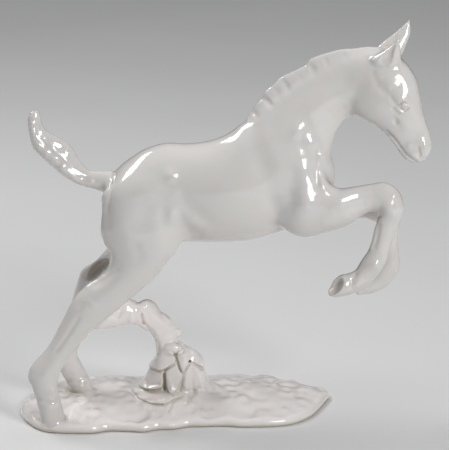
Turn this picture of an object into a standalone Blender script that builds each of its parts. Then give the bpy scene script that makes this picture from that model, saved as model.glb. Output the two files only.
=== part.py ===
"""Leaping foal figurine in white glazed porcelain, as its castings and luting slip.

The figure is drawn in one side-view sketch of 449 x 450 units.  at() puts a
sketch point on an upright plane beside the foal's middle plane, and level()
puts one on a horizontal plane.  Every limb is a row of oval sections, each
given by two points of its outline, a half width and its distance from the
middle plane.  Metres, +Z up, the foal faces +X, origin under the middle of
the figure at the foot of the base.
"""

import math

import bmesh
import bpy
from mathutils import Matrix, Vector

MM = 0.001

# ---------------------------------------------------------------- driving sizes
SKETCH_UNIT = 0.56 * MM          # one sketch unit at the aim point
EYE_DISTANCE = 1100 * MM
EYE_ELEVATION = math.radians(14.5)
AIM = Vector((1.7 * MM, -15.6 * MM, 113 * MM))
SKETCH_MIDDLE = (224.5, 225.0)

GAP = 0.3 * MM                   # clearance that the luting slip leaves
TORSO_WALL = 4.0 * MM
NECK_BORE_INSET = 7.2 * MM       # from the neck's skin to its bore
HEAD_WALL = 4.2 * MM
SLIP = 1.0 * MM                  # thickness of a luting ring
SIDES = 16                       # corners of an oval section

BASE_TOP = 5.0 * MM              # height of the slab at its rim
BASE_LIFT = 2.2 * MM             # how far the ground swells above the rim
FOOT_RING = 7.0 * MM             # width of the flat ring that it stands on
FOOT_RECESS = 2.0 * MM           # depth of the hollow under the slab

# ------------------------------------------------------------------- the sketch
FORWARD = Vector((0, math.cos(EYE_ELEVATION), -math.sin(EYE_ELEVATION)))
UPWARD = Vector((0, math.sin(EYE_ELEVATION), math.cos(EYE_ELEVATION)))
EYE = AIM - FORWARD * EYE_DISTANCE


def ray(u, v):
    across = Vector((1, 0, 0)) * ((u - SKETCH_MIDDLE[0]) * SKETCH_UNIT)
    return FORWARD * EYE_DISTANCE + across + UPWARD * ((SKETCH_MIDDLE[1] - v) * SKETCH_UNIT)


def at(u, v, y_mm=0.0):
    """Sketch point (u, v) on the upright plane y_mm from the foal's middle plane; + is its left."""
    d = ray(u, v)
    return EYE + d * ((AIM.y + y_mm * MM - EYE.y) / d.y)


def level(u, v, z_mm):
    """Sketch point (u, v) on the horizontal plane z_mm above the foot of the base."""
    d = ray(u, v)
    return EYE + d * ((z_mm * MM - EYE.z) / d.z)


# -------------------------------------------------------------- sections, lofts
class Section:
    """An oval: centre, half axis in the sketch, half width across it, and how egg-shaped it is."""

    def __init__(self, centre, half, width, egg=0.0, across=None):
        self.centre, self.half, self.width, self.egg = centre, half, width, egg
        self.across = across or Vector((0, 1, 0))

    def ring(self, grow=0.0, sides=SIDES):
        h = self.half.length
        half = self.half * ((h + grow) / h)
        wide = self.width + grow
        points = []
        for i in range(sides):
            c, s = math.cos(2 * math.pi * i / sides), math.sin(2 * math.pi * i / sides)
            points.append(self.centre + half * c + self.across * (wide * s * (1 + self.egg * c)))
        return points


def sections(rows, mirror=False):
    """rows: (u1, v1, u2, v2, half width mm, y mm[, egg]) from one outline to the other."""
    made = []
    for row in rows:
        u1, v1, u2, v2, b, y = row[:6]
        p, q = at(u1, v1, y), at(u2, v2, y)
        if mirror:
            for w in (p, q):
                w.y = 2 * AIM.y - w.y
        made.append(Section((p + q) / 2, (p - q) / 2, b * MM, row[6] if len(row) > 6 else 0.0))
    return made


def spline(a, b, c, d, t):
    return b + ((c - a) + ((a * 2 - b * 5 + c * 4 - d) + (b * 3 - a - c * 3 + d) * t) * t) * (0.5 * t)


def smooth(row, steps):
    """Sections between those of row, on smooth curves through them."""
    made = []
    for i in range(len(row) - 1):
        a, b, c, d = row[max(i - 1, 0)], row[i], row[i + 1], row[min(i + 2, len(row) - 1)]
        for k in range(steps):
            t = k / steps
            made.append(
                Section(
                    spline(a.centre, b.centre, c.centre, d.centre, t),
                    spline(a.half, b.half, c.half, d.half, t),
                    spline(a.width, b.width, c.width, d.width, t),
                    spline(a.egg, b.egg, c.egg, d.egg, t),
                    b.across.lerp(c.across, t).normalized(),
                )
            )
    made.append(row[-1])
    return made


def dome(row, depth, at_end):
    """Sections that round off one end of a row."""
    end, inner = (row[-1], row[-2]) if at_end else (row[0], row[1])
    out = (end.centre - inner.centre).normalized()
    made = []
    for deg in (34, 62, 82):
        f = math.cos(math.radians(deg))
        made.append(
            Section(end.centre + out * (depth * math.sin(math.radians(deg))), end.half * f, end.width * f, end.egg, end.across)
        )
    return row + made if at_end else made[::-1] + row


def mesh_object(name, bm):
    bmesh.ops.recalc_face_normals(bm, faces=bm.faces[:])
    mesh = bpy.data.meshes.new(name)
    bm.to_mesh(mesh)
    bm.free()
    mesh.shade_smooth()
    mesh.set_sharp_from_angle(angle=math.radians(40))
    obj = bpy.data.objects.new(name, mesh)
    bpy.context.scene.collection.objects.link(obj)
    return obj


def loft(name, row, grow=0.0, sides=SIDES):
    """One closed solid over a row of sections, with flat ends."""
    bm = bmesh.new()
    rings = [[bm.verts.new(p) for p in s.ring(grow, sides)] for s in row]
    for lower, upper in zip(rings, rings[1:]):
        for i in range(sides):
            j = (i + 1) % sides
            bm.faces.new((lower[i], lower[j], upper[j], upper[i]))
    bm.faces.new(rings[0])
    bm.faces.new(rings[-1])
    return mesh_object(name, bm)


def turned(name, start, end, radius, bore=0.0, sides=14):
    """A plain cylinder, or a tube, between two points."""
    axis = end - start
    frame = Matrix.Translation(start) @ axis.to_track_quat("Z", "Y").to_matrix().to_4x4()
    bm = bmesh.new()
    loops = []
    for r in (radius, bore) if bore else (radius,):
        for z in (0.0, axis.length):
            loops.append(
                [
                    bm.verts.new(frame @ Vector((r * math.cos(2 * math.pi * i / sides), r * math.sin(2 * math.pi * i / sides), z)))
                    for i in range(sides)
                ]
            )
    for i in range(sides):
        j = (i + 1) % sides
        bm.faces.new((loops[0][i], loops[0][j], loops[1][j], loops[1][i]))
        if bore:
            bm.faces.new((loops[2][j], loops[2][i], loops[3][i], loops[3][j]))
            bm.faces.new((loops[0][j], loops[0][i], loops[2][i], loops[2][j]))
            bm.faces.new((loops[1][i], loops[1][j], loops[3][j], loops[3][i]))
    if not bore:
        bm.faces.new(loops[0])
        bm.faces.new(loops[1])
    return mesh_object(name, bm)


def helper(obj):
    obj.hide_render = True
    obj.display_type = "WIRE"
    return obj


def combine(obj, other, operation):
    m = obj.modifiers.new(operation.lower(), "BOOLEAN")
    m.operation = operation
    m.object = helper(other)
    m.solver = "EXACT"
    return obj


def material(obj, colour, roughness, coat=0.0):
    m = bpy.data.materials.new(obj.name)
    m.use_nodes = True
    shader = m.node_tree.nodes["Principled BSDF"]
    shader.inputs["Base Color"].default_value = (*colour, 1)
    shader.inputs["Roughness"].default_value = roughness
    shader.inputs["Metallic"].default_value = 0.0
    shader.inputs["Coat Weight"].default_value = coat
    obj.data.materials.clear()
    obj.data.materials.append(m)
    return obj


def glaze(obj):
    return material(obj, (0.80, 0.79, 0.765), 0.16, 1.0)


def bisque(obj):
    return material(obj, (0.78, 0.75, 0.70), 0.75)


# ------------------------------------------------------------------ the drawing
# Barrel and neck in one row: the top line against the belly, then the chest.
BARREL = [
    (109, 177, 103, 209, 13, 0),
    (115, 169, 104, 224, 18.5, 0),
    (128, 159, 116, 236, 20.5, 0),
    (146, 148, 140, 242, 21.5, 0),
    (166, 143, 166, 245, 21.5, 0),
    (187, 144, 191, 243, 21.5, 0),
    (208, 141, 216, 241, 22, 0),
    (226, 134, 242, 240, 21.5, 0),
    (239, 125, 266, 234, 20.5, 0),
    (249, 117, 290, 229, 19, 0),
    (255, 108, 314, 214, 17.5, 0),
    (260, 100, 331, 194, 16, 0),
    (266, 92, 336, 174, 14, 0),
]
NECK = [
    (266, 92, 336, 174, 14, 0),
    (276, 83, 333, 151, 12, 0),
    (291, 73, 335, 135, 10.5, 0),
    (309, 62, 342, 122, 9.6, 0),
    (330, 53, 351, 116, 9.2, 0),
    (352, 49, 362, 114, 9.2, 0),
    (368, 48, 376, 104, 9.0, 0),
]
HEAD = [
    (398, 55, 369, 55, 7, -2, 0.0),
    (409, 67, 359, 84, 10.5, -2, 0.0),
    (417, 80, 353, 107, 11.5, -2.4, 0.0),
    (420.5, 95, 359, 117.5, 11.5, -3, 0.1),
    (423, 108, 374, 126, 9.4, -3.6, 0.1),
    (426, 120, 384.5, 133.5, 7.6, -4.2, 0.1),
    (429.5, 131, 393, 143.5, 6.6, -4.8, 0.0),
    (432, 141, 400, 153, 6.4, -5.2, 0.0),
    (431.5, 149, 403.5, 158, 6.0, -5.6, 0.0),
    (427, 156.5, 411, 162.5, 4.0, -5.8, 0.0),
]
TAIL = [
    (110, 171, 104, 192, 4.6, 0),
    (100, 171, 92, 188, 4.6, 0),
    (89, 170, 79, 184, 4.8, 0),
    (80, 161, 67, 178, 5.4, 0),
    (72, 148, 54, 167.5, 5.8, 0),
    (61, 139, 42, 157.5, 5.4, 0),
    (49, 133, 32, 146, 4.6, 0),
    (43, 126, 28.5, 131, 3.8, 0),
    (40.5, 117, 28, 118.5, 2.8, 0),
    (38.5, 112, 31, 114, 1.8, 0),
]
# Right haunch, cast with the barrel, and the leg below it.
HAUNCH = [
    (150, 172, 114, 196, 8, -12),
    (172, 205, 103, 214, 10.5, -12),
    (179, 232, 103, 230, 11, -12),
    (178, 247, 105, 241, 10.5, -12.5),
]
HIND_RIGHT = [
    (178, 247, 105, 241, 10.5, -12.5),
    (169, 260, 110, 254, 10, -13),
    (156, 276, 108, 267, 9, -14),
    (139, 291, 98, 279, 8, -15.2),
    (119, 308, 84, 288, 7, -16.6),
    (100, 323, 73, 300, 6.2, -17.6),
    (83, 339.5, 59.5, 326, 5.0, -18.4),
    (70, 357, 47, 348, 5.0, -19),
    (60, 372, 28, 372, 6.2, -19.8),
    (57.5, 386, 32, 388, 5.2, -20.4),
    (61, 402, 38, 404, 6.2, -21),
    (65, 417, 41.5, 421, 7.0, -21.4),
    (66, 423, 42, 427, 7.2, -21.6),
]
HIND_LEFT = [
    (103, 306, 76, 287, 6.4, 17.6),
    (90.5, 324, 68, 311, 5.2, 18.4),
    (81, 342, 59, 335, 5.0, 19),
    (76.5, 352, 50, 354, 6.0, 19.8),
    (82, 365, 60.5, 371, 5.2, 20.6),
    (88, 376, 66, 382, 6.2, 21.6),
    (93, 387, 70.5, 390.5, 6.8, 22.2),
    (95, 394, 72, 397, 7.0, 22.4),
]
# Right shoulder and upper arm, cast with the barrel, and the leg beyond it.
SHOULDER = [
    (300, 160, 268, 176, 5.5, -11),
    (318, 176, 273, 212, 6.6, -11.5),
    (330, 185, 287, 231, 7.2, -11.8),
    (338, 189, 304, 237, 7.4, -12),
    (343, 189.5, 323, 233, 7.2, -12),
]
FORE_RIGHT = [
    (343, 189.5, 323, 233, 7.2, -12),
    (357, 186.5, 347, 225, 6.4, -12),
    (372, 184, 367, 212.5, 5.8, -12),
    (386, 182.5, 376, 211.5, 6.0, -12.2),
    (399, 191, 378.5, 212.5, 6.2, -12.4),
    (404.5, 206, 379.5, 215.5, 6.0, -12.6),
    (400, 221, 377, 221, 5.0, -12.8),
    (394, 236, 373, 236, 4.4, -13),
    (389.5, 250, 368.5, 250, 4.6, -13.4),
    (385.5, 264, 360, 263, 5.4, -14),
    (372, 281, 354, 271.5, 4.6, -14.6),
    (357, 291, 346, 274.5, 5.6, -15),
    (345, 295, 338, 277.5, 6.4, -15.4),
    (334.5, 296.5, 333, 282, 6.0, -15.6),
]
FORE_LEFT = [
    (357, 194, 347, 223, 6.0, 12),
    (371, 191, 363, 218.5, 5.8, 12),
    (386, 190, 374, 221, 6.0, 12),
    (399, 198, 378, 223, 6.2, 12),
    (402.5, 212, 380, 226, 6.0, 12),
    (399.5, 228, 380, 232, 4.8, 12),
    (398, 243, 381, 245, 4.4, 12),
    (399, 256, 380, 256.5, 4.8, 12),
    (398, 271, 376, 266, 5.2, 12),
    (386, 286, 372, 273.5, 4.6, 12),
    (373, 292.5, 363, 280, 5.4, 12),
    (358.5, 294.5, 354.5, 285.5, 5.6, 12),
]
# Rooted branch that props the hind legs, from the hocks down and back to the stump.
BRANCH = [
    (112, 305, 99, 325, 12.0, 0.5),
    (131, 299.8, 118, 325, 8.5, 1.6),
    (146, 300.3, 138, 324.5, 7.0, 4.0),
    (158, 307.5, 148, 331.5, 6.6, 7.0),
    (170, 319, 154, 338, 6.2, 10.5),
    (177, 332, 156, 346, 6.0, 13.5),
    (179, 343, 156.5, 353, 6.2, 15.5),
    (181, 357, 157, 363, 6.6, 17.5),
]
OUTLINE_FRONT = [
    (20, 410), (24, 418), (41, 429), (72, 431.5), (118, 429.5), (172, 427.5), (225, 424.5),
    (270, 424.5), (300, 420), (319, 409), (328.5, 397),
]
OUTLINE_BACK = [
    (328, 391), (314, 385), (286, 379), (258, 374), (225, 373.5), (180, 374), (140, 375), (104, 375), (70, 379), (40, 388), (24, 399),
]

for existing in list(bpy.data.objects):
    bpy.data.objects.remove(existing, do_unlink=True)


def mirrored(row):
    return sections(row, mirror=True)


# ------------------------------------------------------------------------ torso
def barrel(grow, length=None):
    row = sections(BARREL)
    row = dome(smooth(row, 2), 6 * MM, at_end=False)
    if length:
        out = (row[-1].centre - row[-2].centre).normalized()
        row = row + [Section(row[-1].centre + out * length, row[-1].half, row[-1].width)]
    return row, grow


row, _ = barrel(0.0)
torso = loft("torso_shell", row, sides=20)
for label, mirror in (("right", False), ("left", True)):
    haunch = sections(HAUNCH, mirror)
    combine(torso, loft(f"haunch_form_{label}", dome(smooth(haunch, 2), 7 * MM, at_end=False)), "UNION")
    shoulder = sections(SHOULDER, mirror)
    combine(torso, loft(f"shoulder_form_{label}", dome(smooth(shoulder, 2), 7 * MM, at_end=False)), "UNION")
row, _ = barrel(0.0, 6 * MM)
combine(torso, loft("torso_hollow", row[4::2], grow=-TORSO_WALL, sides=12), "DIFFERENCE")


def joint(parent, start, inward, radius, depth, name, bore=0.0):
    """A round tenon with its socket in parent and the ring of slip between them; returns the tenon."""
    inward = inward.normalized()
    socket = radius + 2 * GAP + SLIP
    combine(parent, turned(f"{name}_socket", start - inward * (4 * MM), start + inward * depth, socket), "DIFFERENCE")
    ring = turned(f"slip_{name}", start + inward * (2 * GAP), start + inward * (depth - 2 * GAP), socket - GAP, radius + GAP)
    bisque(ring)
    return turned(f"{name}_tenon", start - inward * (4 * MM), start + inward * (depth - GAP), radius)


def along(row):
    """Square to the first section, pointing out of the row."""
    square = row[0].half.cross(row[0].across).normalized()
    return square if square.dot(row[0].centre - row[1].centre) > 0 else -square


def shifted(row, distance):
    """The row with its first section moved along its own run, to leave the joint's clearance."""
    first = row[0]
    row = list(row)
    row[0] = Section(first.centre - along(row) * distance, first.half, first.width, first.egg)
    return row


# ------------------------------------------------------------------------- legs
def leg(name, row, radius, depth):
    start = row[0].centre
    inward = along(row)
    tenon = joint(torso, start, inward, radius, depth, name)
    combine(torso, loft(f"{name}_clearance", smooth(shifted(row, GAP / 3), 2), grow=GAP, sides=16), "DIFFERENCE")
    made = loft(name, smooth(shifted(row, GAP), 2), sides=16)
    combine(made, tenon, "UNION")
    return glaze(made)


hind_right = sections(HIND_RIGHT)
hind_left = mirrored(HIND_RIGHT[:5]) + sections(HIND_LEFT)
fore_right = dome(sections(FORE_RIGHT), 1.5 * MM, at_end=True)
fore_left = dome(mirrored(FORE_RIGHT[:1]) + sections(FORE_LEFT), 1.5 * MM, at_end=True)
leg_hind_right = leg("hindleg_right", hind_right, 4.0 * MM, 9 * MM)
leg_hind_left = leg("hindleg_left", hind_left, 4.0 * MM, 9 * MM)
leg("foreleg_right", fore_right, 2.8 * MM, 7 * MM)
leg("foreleg_left", fore_left, 2.8 * MM, 7 * MM)

# ------------------------------------------------------------------------- tail
tail_row = dome(sections(TAIL), 1.2 * MM, at_end=True)
root = Section(at(113, 180, 0), tail_row[0].half * 0.8, tail_row[0].width * 0.8)
tail = glaze(loft("tail", smooth([root] + tail_row, 2), sides=14))
combine(torso, loft("tail_pocket", smooth([Section(root.centre + Vector((GAP, 0, 0)), root.half, root.width)] + tail_row, 2), grow=GAP, sides=14), "DIFFERENCE")

# ------------------------------------------------------------------------- neck
neck_row = sections(NECK)
neck = loft("neck_shell", smooth(shifted(neck_row, GAP), 2))
neck_axis = along(neck_row)
collar = [
    Section(neck_row[0].centre + neck_axis * d, neck_row[0].half, neck_row[0].width) for d in (5 * MM, -4 * MM)
]
combine(neck, loft("neck_collar", collar, grow=-(TORSO_WALL + 2 * GAP + SLIP)), "UNION")
bore = smooth(neck_row, 2)[:-1]
bore = [Section(bore[0].centre + neck_axis * (8 * MM), bore[0].half * 0.92, bore[0].width * 0.92)] + bore
combine(neck, loft("neck_hollow", bore, grow=-NECK_BORE_INSET, sides=14), "DIFFERENCE")
slip_neck = loft("slip_neck", [Section(s.centre - neck_axis * o, s.half, s.width) for s, o in zip(collar, (0.6 * MM, -4.6 * MM))], grow=-(TORSO_WALL + GAP))
combine(slip_neck, loft("slip_neck_bore", [Section(s.centre + neck_axis * o, s.half, s.width) for s, o in zip(collar, (3 * MM, -3 * MM))], grow=-(TORSO_WALL + GAP + SLIP)), "DIFFERENCE")
bisque(slip_neck)
combine(torso, loft("neck_socket", [Section(s.centre + neck_axis * o, s.half, s.width) for s, o in zip(collar, (0.6 * MM, -1 * MM))], grow=-TORSO_WALL), "DIFFERENCE")
glaze(torso)

# ------------------------------------------------------------------------- head
head_row = dome(dome(sections(HEAD), 3 * MM, at_end=False), 1.2 * MM, at_end=True)
head = loft("head_shell", smooth(head_row, 2))
combine(neck, loft("head_clearance", smooth(head_row, 2), grow=2 * GAP), "DIFFERENCE")
glaze(neck)
head_seat = at(354.5, 88, -1.5)
head_axis = (at(338, 92, 0) - head_seat).normalized()
combine(head, loft("head_hollow", smooth(sections(HEAD[1:7]), 2), grow=-HEAD_WALL, sides=14), "DIFFERENCE")
combine(head, joint(neck, head_seat, head_axis, 2.0 * MM, 7 * MM, "head"), "UNION")
combine(head, turned("head_vent", head_seat - head_axis * (20 * MM), head_seat + head_axis * (9 * MM), 1.0 * MM), "DIFFERENCE")


# ------------------------------------------------------------------------- ears
def ear(name, root, tip, wide, thick, open_side):
    """A pointed leaf with a hollow face, on a short stalk set into the head."""
    axis = (tip - root).normalized()
    across = (Vector((0, 1, 0)) - axis * axis.y).normalized()
    flat = across.cross(axis).normalized()
    row = [
        Section(root.lerp(tip, t), flat * (wide * w), thick * d, 0.0, across)
        for t, w, d in ((0.0, 0.7, 0.9), (0.2, 0.95, 1.0), (0.42, 1.0, 0.9), (0.65, 0.8, 0.7), (0.84, 0.46, 0.5), (0.97, 0.16, 0.3))
    ]
    made = loft(name, smooth(row, 2), sides=14)
    lean = across * (open_side * thick)
    cup = [
        Section(root.lerp(tip, t) + lean * 0.95, flat * (wide * w * 0.7), thick * d, 0.0, across)
        for t, w, d in ((0.24, 0.4, 0.4), (0.38, 0.95, 0.95), (0.6, 0.84, 0.8), (0.8, 0.4, 0.4))
    ]
    combine(made, loft(f"{name}_cup", smooth(cup, 2), sides=12), "DIFFERENCE")
    pocket = list(row)
    pocket[0] = Section(root - axis * GAP, flat * (wide * 0.7), thick * 0.9, 0.0, across)
    for other, label in ((head, "head"), (neck, "neck")):
        combine(other, loft(f"{name}_pocket_{label}", smooth(pocket, 2), grow=GAP, sides=14), "DIFFERENCE")
    return glaze(made)


ear("ear_right", at(383, 67, -7.5), at(399.4, 38.7, -11), 5.4 * MM, 2.6 * MM, -1)
ear("ear_left", at(387, 56, 4.0), at(409.4, 19.4, 8), 5.8 * MM, 2.6 * MM, -1)
glaze(head)

# ------------------------------------------------------------------------- base
def outline():
    points = [level(u, v, 1.5) for u, v in OUTLINE_FRONT] + [level(u, v, BASE_TOP / MM - 0.5) for u, v in OUTLINE_BACK]
    ring = []
    n = len(points)
    for i in range(n):
        for k in range(2):
            ring.append(spline(points[i - 1], points[i], points[(i + 1) % n], points[(i + 2) % n], k / 2))
    return [Vector((p.x, p.y, 0)) for p in ring]


def inset(ring, distance):
    n = len(ring)
    made = []
    for i in range(n):
        run = (ring[(i + 1) % n] - ring[i - 1]).normalized()
        made.append(ring[i] + Vector((-run.y, run.x, 0)) * distance)
    return made


RIM = outline()
if sum(a.x * b.y - b.x * a.y for a, b in zip(RIM, RIM[1:] + RIM[:1])) < 0:
    RIM.reverse()


def slab(name, grow=0.0, hollow=True):
    """The base, or, without its hollow, everything below the ground and a little beyond its rim."""
    middle = sum(RIM, Vector()) / len(RIM)
    top = BASE_TOP + grow
    if hollow:
        edge = inset(RIM, 2.2 * MM)
        layers = [(inset(RIM, FOOT_RING + 1.0 * MM), FOOT_RECESS), (inset(RIM, FOOT_RING), 0.0), (inset(RIM, 1.6 * MM), 0.0)]
        layers += [(inset(RIM, 0.3 * MM), 1.2 * MM), (RIM, 2.6 * MM), (inset(RIM, 0.7 * MM), 4.1 * MM), (edge, top)]
    else:
        edge = [middle + (p - middle) * 0.99 for p in RIM]
        wide = [middle + (p - middle) * 1.15 for p in RIM]
        layers = [(wide, -25 * MM), (wide, top), (edge, top)]
    for share, lift in ((0.72, 0.45), (0.42, 0.85), (0.16, 1.0)):
        layers.append(([middle + (p - middle) * share for p in edge], top + BASE_LIFT * lift))
    bm = bmesh.new()
    rings = [[bm.verts.new(p + Vector((0, 0, z))) for p in ring] for ring, z in layers]
    n = len(RIM)
    for lower, upper in zip(rings, rings[1:]):
        for i in range(n):
            j = (i + 1) % n
            bm.faces.new((lower[i], lower[j], upper[j], upper[i]))
    bm.faces.new(rings[0])
    bm.faces.new(rings[-1])
    return mesh_object(name, bm)


base = slab("base_slab")


# --------------------------------------------------------- hooves on the ground
def plant(obj, row, name, radius):
    """Cuts the hoof to the ground and sets its peg into the slab."""
    combine(obj, slab(f"{name}_ground", grow=GAP, hollow=False), "DIFFERENCE")
    foot = Vector((row[-2].centre.x, row[-2].centre.y, BASE_TOP + 0.4 * MM))
    down = Vector((0, 0, -1))
    socket = radius + 2 * GAP + SLIP
    combine(base, turned(f"{name}_socket", foot + Vector((0, 0, 4 * MM)), foot + down * (2.6 * MM), socket), "DIFFERENCE")
    bisque(turned(f"slip_{name}", foot + down * (0.7 * MM), foot + down * (2.3 * MM), socket - GAP, radius + GAP))
    combine(obj, turned(f"{name}_peg", foot + Vector((0, 0, 5 * MM)), foot + down * (2.2 * MM), radius), "UNION")


plant(leg_hind_right, hind_right, "hoof_right", 1.8 * MM)
plant(leg_hind_left, hind_left, "hoof_left", 1.8 * MM)

# ------------------------------------------------------------- stump and branch
STUMP = [(128, 226, 398, 24, 12.5), (136, 217, 388, 23.5, 11.4), (145, 208, 377, 22, 10.6), (151, 202, 367, 20.5, 10), (156, 197, 357, 19, 8.6), (160, 187, 348, 17.5, 6.8)]


def level_oval(u1, u2, v, y, wide):
    p, q = at(u1, v, y), at(u2, v, y)
    return Section((p + q) / 2, (q - p) / 2, wide * MM)


def stump_row():
    return [level_oval(u1, u2, v, y, wide) for u1, u2, v, y, wide in STUMP]


stump = loft("stump", smooth(stump_row(), 2))
combine(stump, slab("stump_ground", grow=GAP, hollow=False), "DIFFERENCE")
branch_row = dome(sections(BRANCH), 5 * MM, at_end=False)
branch = loft("branch_prop", smooth(branch_row, 2), sides=16)
for row, label in ((hind_right, "right"), (hind_left, "left")):
    combine(branch, loft(f"branch_clearance_{label}", smooth(row, 2), grow=GAP, sides=16), "DIFFERENCE")
combine(branch, loft("branch_clearance_stump", smooth(stump_row(), 2), grow=GAP), "DIFFERENCE")
glaze(branch)


# ------------------------------------------------- rocks and leaves at the stump
def nested(name, row, sides=14, near=()):
    """A piece bedded against the stump and the ground, and clear of the pieces made before it."""
    made = loft(name, row, sides=sides)
    combine(made, loft(f"{name}_bed", smooth(stump_row(), 2), grow=GAP), "DIFFERENCE")
    combine(made, slab(f"{name}_ground", grow=GAP, hollow=False), "DIFFERENCE")
    for label, other in near:
        combine(made, loft(f"{name}_beside_{label}", other, grow=1.5 * GAP, sides=sides), "DIFFERENCE")
    return made


def disc(centre, flat, rise, thick):
    """Sections of a round-edged plate."""
    out = flat.cross(rise).normalized()
    return [
        Section(centre + out * (thick * z), flat * f, rise.length * f, 0.0, rise.normalized())
        for z, f in ((-1.0, 0.7), (-0.8, 0.9), (-0.3, 1.0), (0.3, 1.0), (0.8, 0.9), (1.0, 0.7))
    ]


rock_row = [level_oval(u1, u2, v, y, wide) for u1, u2, v, y, wide in ((133, 163, 405, 13.5, 6.6), (134, 163, 392, 13.2, 6.2), (138, 163, 380, 12.6, 5.4), (146, 161, 371, 12.4, 3.6))]
leaf_row = disc(at(162, 360.3, 8.4), Vector((7.6 * MM, 0, 2.3 * MM)), Vector((-1.5 * MM, 3.0 * MM, 5.0 * MM)), 1.5 * MM)
stub_row = [level_oval(u1, u2, v, y, wide) for u1, u2, v, y, wide in ((166, 180, 405, 9.5, 4.0), (165.5, 181, 392, 9.4, 3.8), (166, 181, 381, 9.2, 3.5), (168, 180, 372, 9.2, 2.8))]
curl_row = disc(at(189.5, 358, 8.6), Vector((7.2 * MM, 0, -0.8 * MM)), Vector((0.8 * MM, 1.6 * MM, 6.4 * MM)), 1.7 * MM)
cone_row = [level_oval(u1, u2, v, y, wide) for u1, u2, v, y, wide in ((183.5, 216, 405, 11.5, 6.2), (184, 212, 393, 11.2, 5.6), (185, 206, 380, 11, 4.6), (187.5, 203, 371, 11, 3.2))]
rock = nested("rock_left", rock_row)
arch = smooth(branch_row, 2)
leaf = nested("leaf_front", leaf_row, near=(("branch", arch),))
stub = nested("bark_stub", stub_row, near=(("rock", rock_row), ("leaf", leaf_row)))
curl = nested("leaf_curled", curl_row, near=(("leaf", leaf_row), ("branch", arch)))
combine(curl, turned("leaf_curled_eye", at(189.6, 362.5, 0), at(189.6, 362.5, 16), 0.9 * MM, sides=12), "DIFFERENCE")
cone = nested("rock_right", cone_row, near=(("curl", curl_row), ("stub", stub_row), ("leaf", leaf_row)))
for piece in (stump, rock, leaf, stub, curl, cone, base):
    glaze(piece)
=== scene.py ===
"""Looks of the foal figurine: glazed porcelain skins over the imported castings.

The whole figure is one solid described by a distance field in millimetres:
rows of oval sections for the limbs, joined softly, with modelling strokes laid
on them.  The field is skinned once, and the skin is divided along the joints
of the castings, so each casting gets its own piece and the glaze runs on
across the joints.
"""

import math

import bpy
import numpy as np
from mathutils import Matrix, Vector


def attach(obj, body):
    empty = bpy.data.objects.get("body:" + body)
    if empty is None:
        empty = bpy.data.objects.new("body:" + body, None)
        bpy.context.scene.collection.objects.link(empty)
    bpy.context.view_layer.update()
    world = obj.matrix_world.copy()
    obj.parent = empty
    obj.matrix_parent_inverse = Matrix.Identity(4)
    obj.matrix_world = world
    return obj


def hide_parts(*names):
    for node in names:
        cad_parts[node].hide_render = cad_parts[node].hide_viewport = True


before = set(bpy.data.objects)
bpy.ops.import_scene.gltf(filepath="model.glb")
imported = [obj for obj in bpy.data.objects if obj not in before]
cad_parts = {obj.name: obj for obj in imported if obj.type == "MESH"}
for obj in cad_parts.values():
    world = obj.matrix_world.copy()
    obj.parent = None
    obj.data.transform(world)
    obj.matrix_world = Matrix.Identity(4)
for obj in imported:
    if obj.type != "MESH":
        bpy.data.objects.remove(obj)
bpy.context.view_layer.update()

# ------------------------------------------------------------------- the view
UNIT = 0.56                       # mm per sketch unit at the aim point
DISTANCE = 1100.0
ELEVATION = math.radians(14.5)
AIM = np.array([1.7, -15.6, 113.0])
MIDDLE = (224.5, 225.0)
SAG = AIM[1]                      # the foal's middle plane
FORWARD = np.array([0.0, math.cos(ELEVATION), -math.sin(ELEVATION)])
UPWARD = np.array([0.0, math.sin(ELEVATION), math.cos(ELEVATION)])
EYE = AIM - FORWARD * DISTANCE

CELL = 0.7      # cell of the skin on body and ground
CELL_FINE = 0.45  # cell on the head


def at(u, v, y=0.0):
    d = FORWARD * DISTANCE + np.array([1.0, 0, 0]) * ((u - MIDDLE[0]) * UNIT) + UPWARD * ((MIDDLE[1] - v) * UNIT)
    return EYE + d * ((SAG + y - EYE[1]) / d[1])


def level(u, v, z):
    d = FORWARD * DISTANCE + np.array([1.0, 0, 0]) * ((u - MIDDLE[0]) * UNIT) + UPWARD * ((MIDDLE[1] - v) * UNIT)
    return EYE + d * ((z - EYE[2]) / d[2])


def seen(P):
    """Sketch coordinates of points."""
    r = P - EYE
    depth = r @ FORWARD
    return MIDDLE[0] + r[:, 0] / depth * (DISTANCE / UNIT), MIDDLE[1] - (r @ UPWARD) / depth * (DISTANCE / UNIT)


def flip(P):
    Q = P.copy()
    Q[:, 1] = 2 * SAG - Q[:, 1]
    return Q


# ------------------------------------------------------------ distance fields
FAR = 40.0
REACH = 9.5


def smin(a, b, k):
    h = np.clip(0.5 + 0.5 * (b - a) / k, 0, 1)
    return b + (a - b) * h - k * h * (1 - h)


def smax(a, b, k):
    return -smin(-a, -b, k)


def boxed(P, lo, hi, work):
    """work(points) inside a box, FAR outside it."""
    d = np.full(len(P), FAR)
    m = np.all((P > lo) & (P < hi), axis=1)
    if m.any():
        d[m] = work(P[m])
    return d


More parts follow.
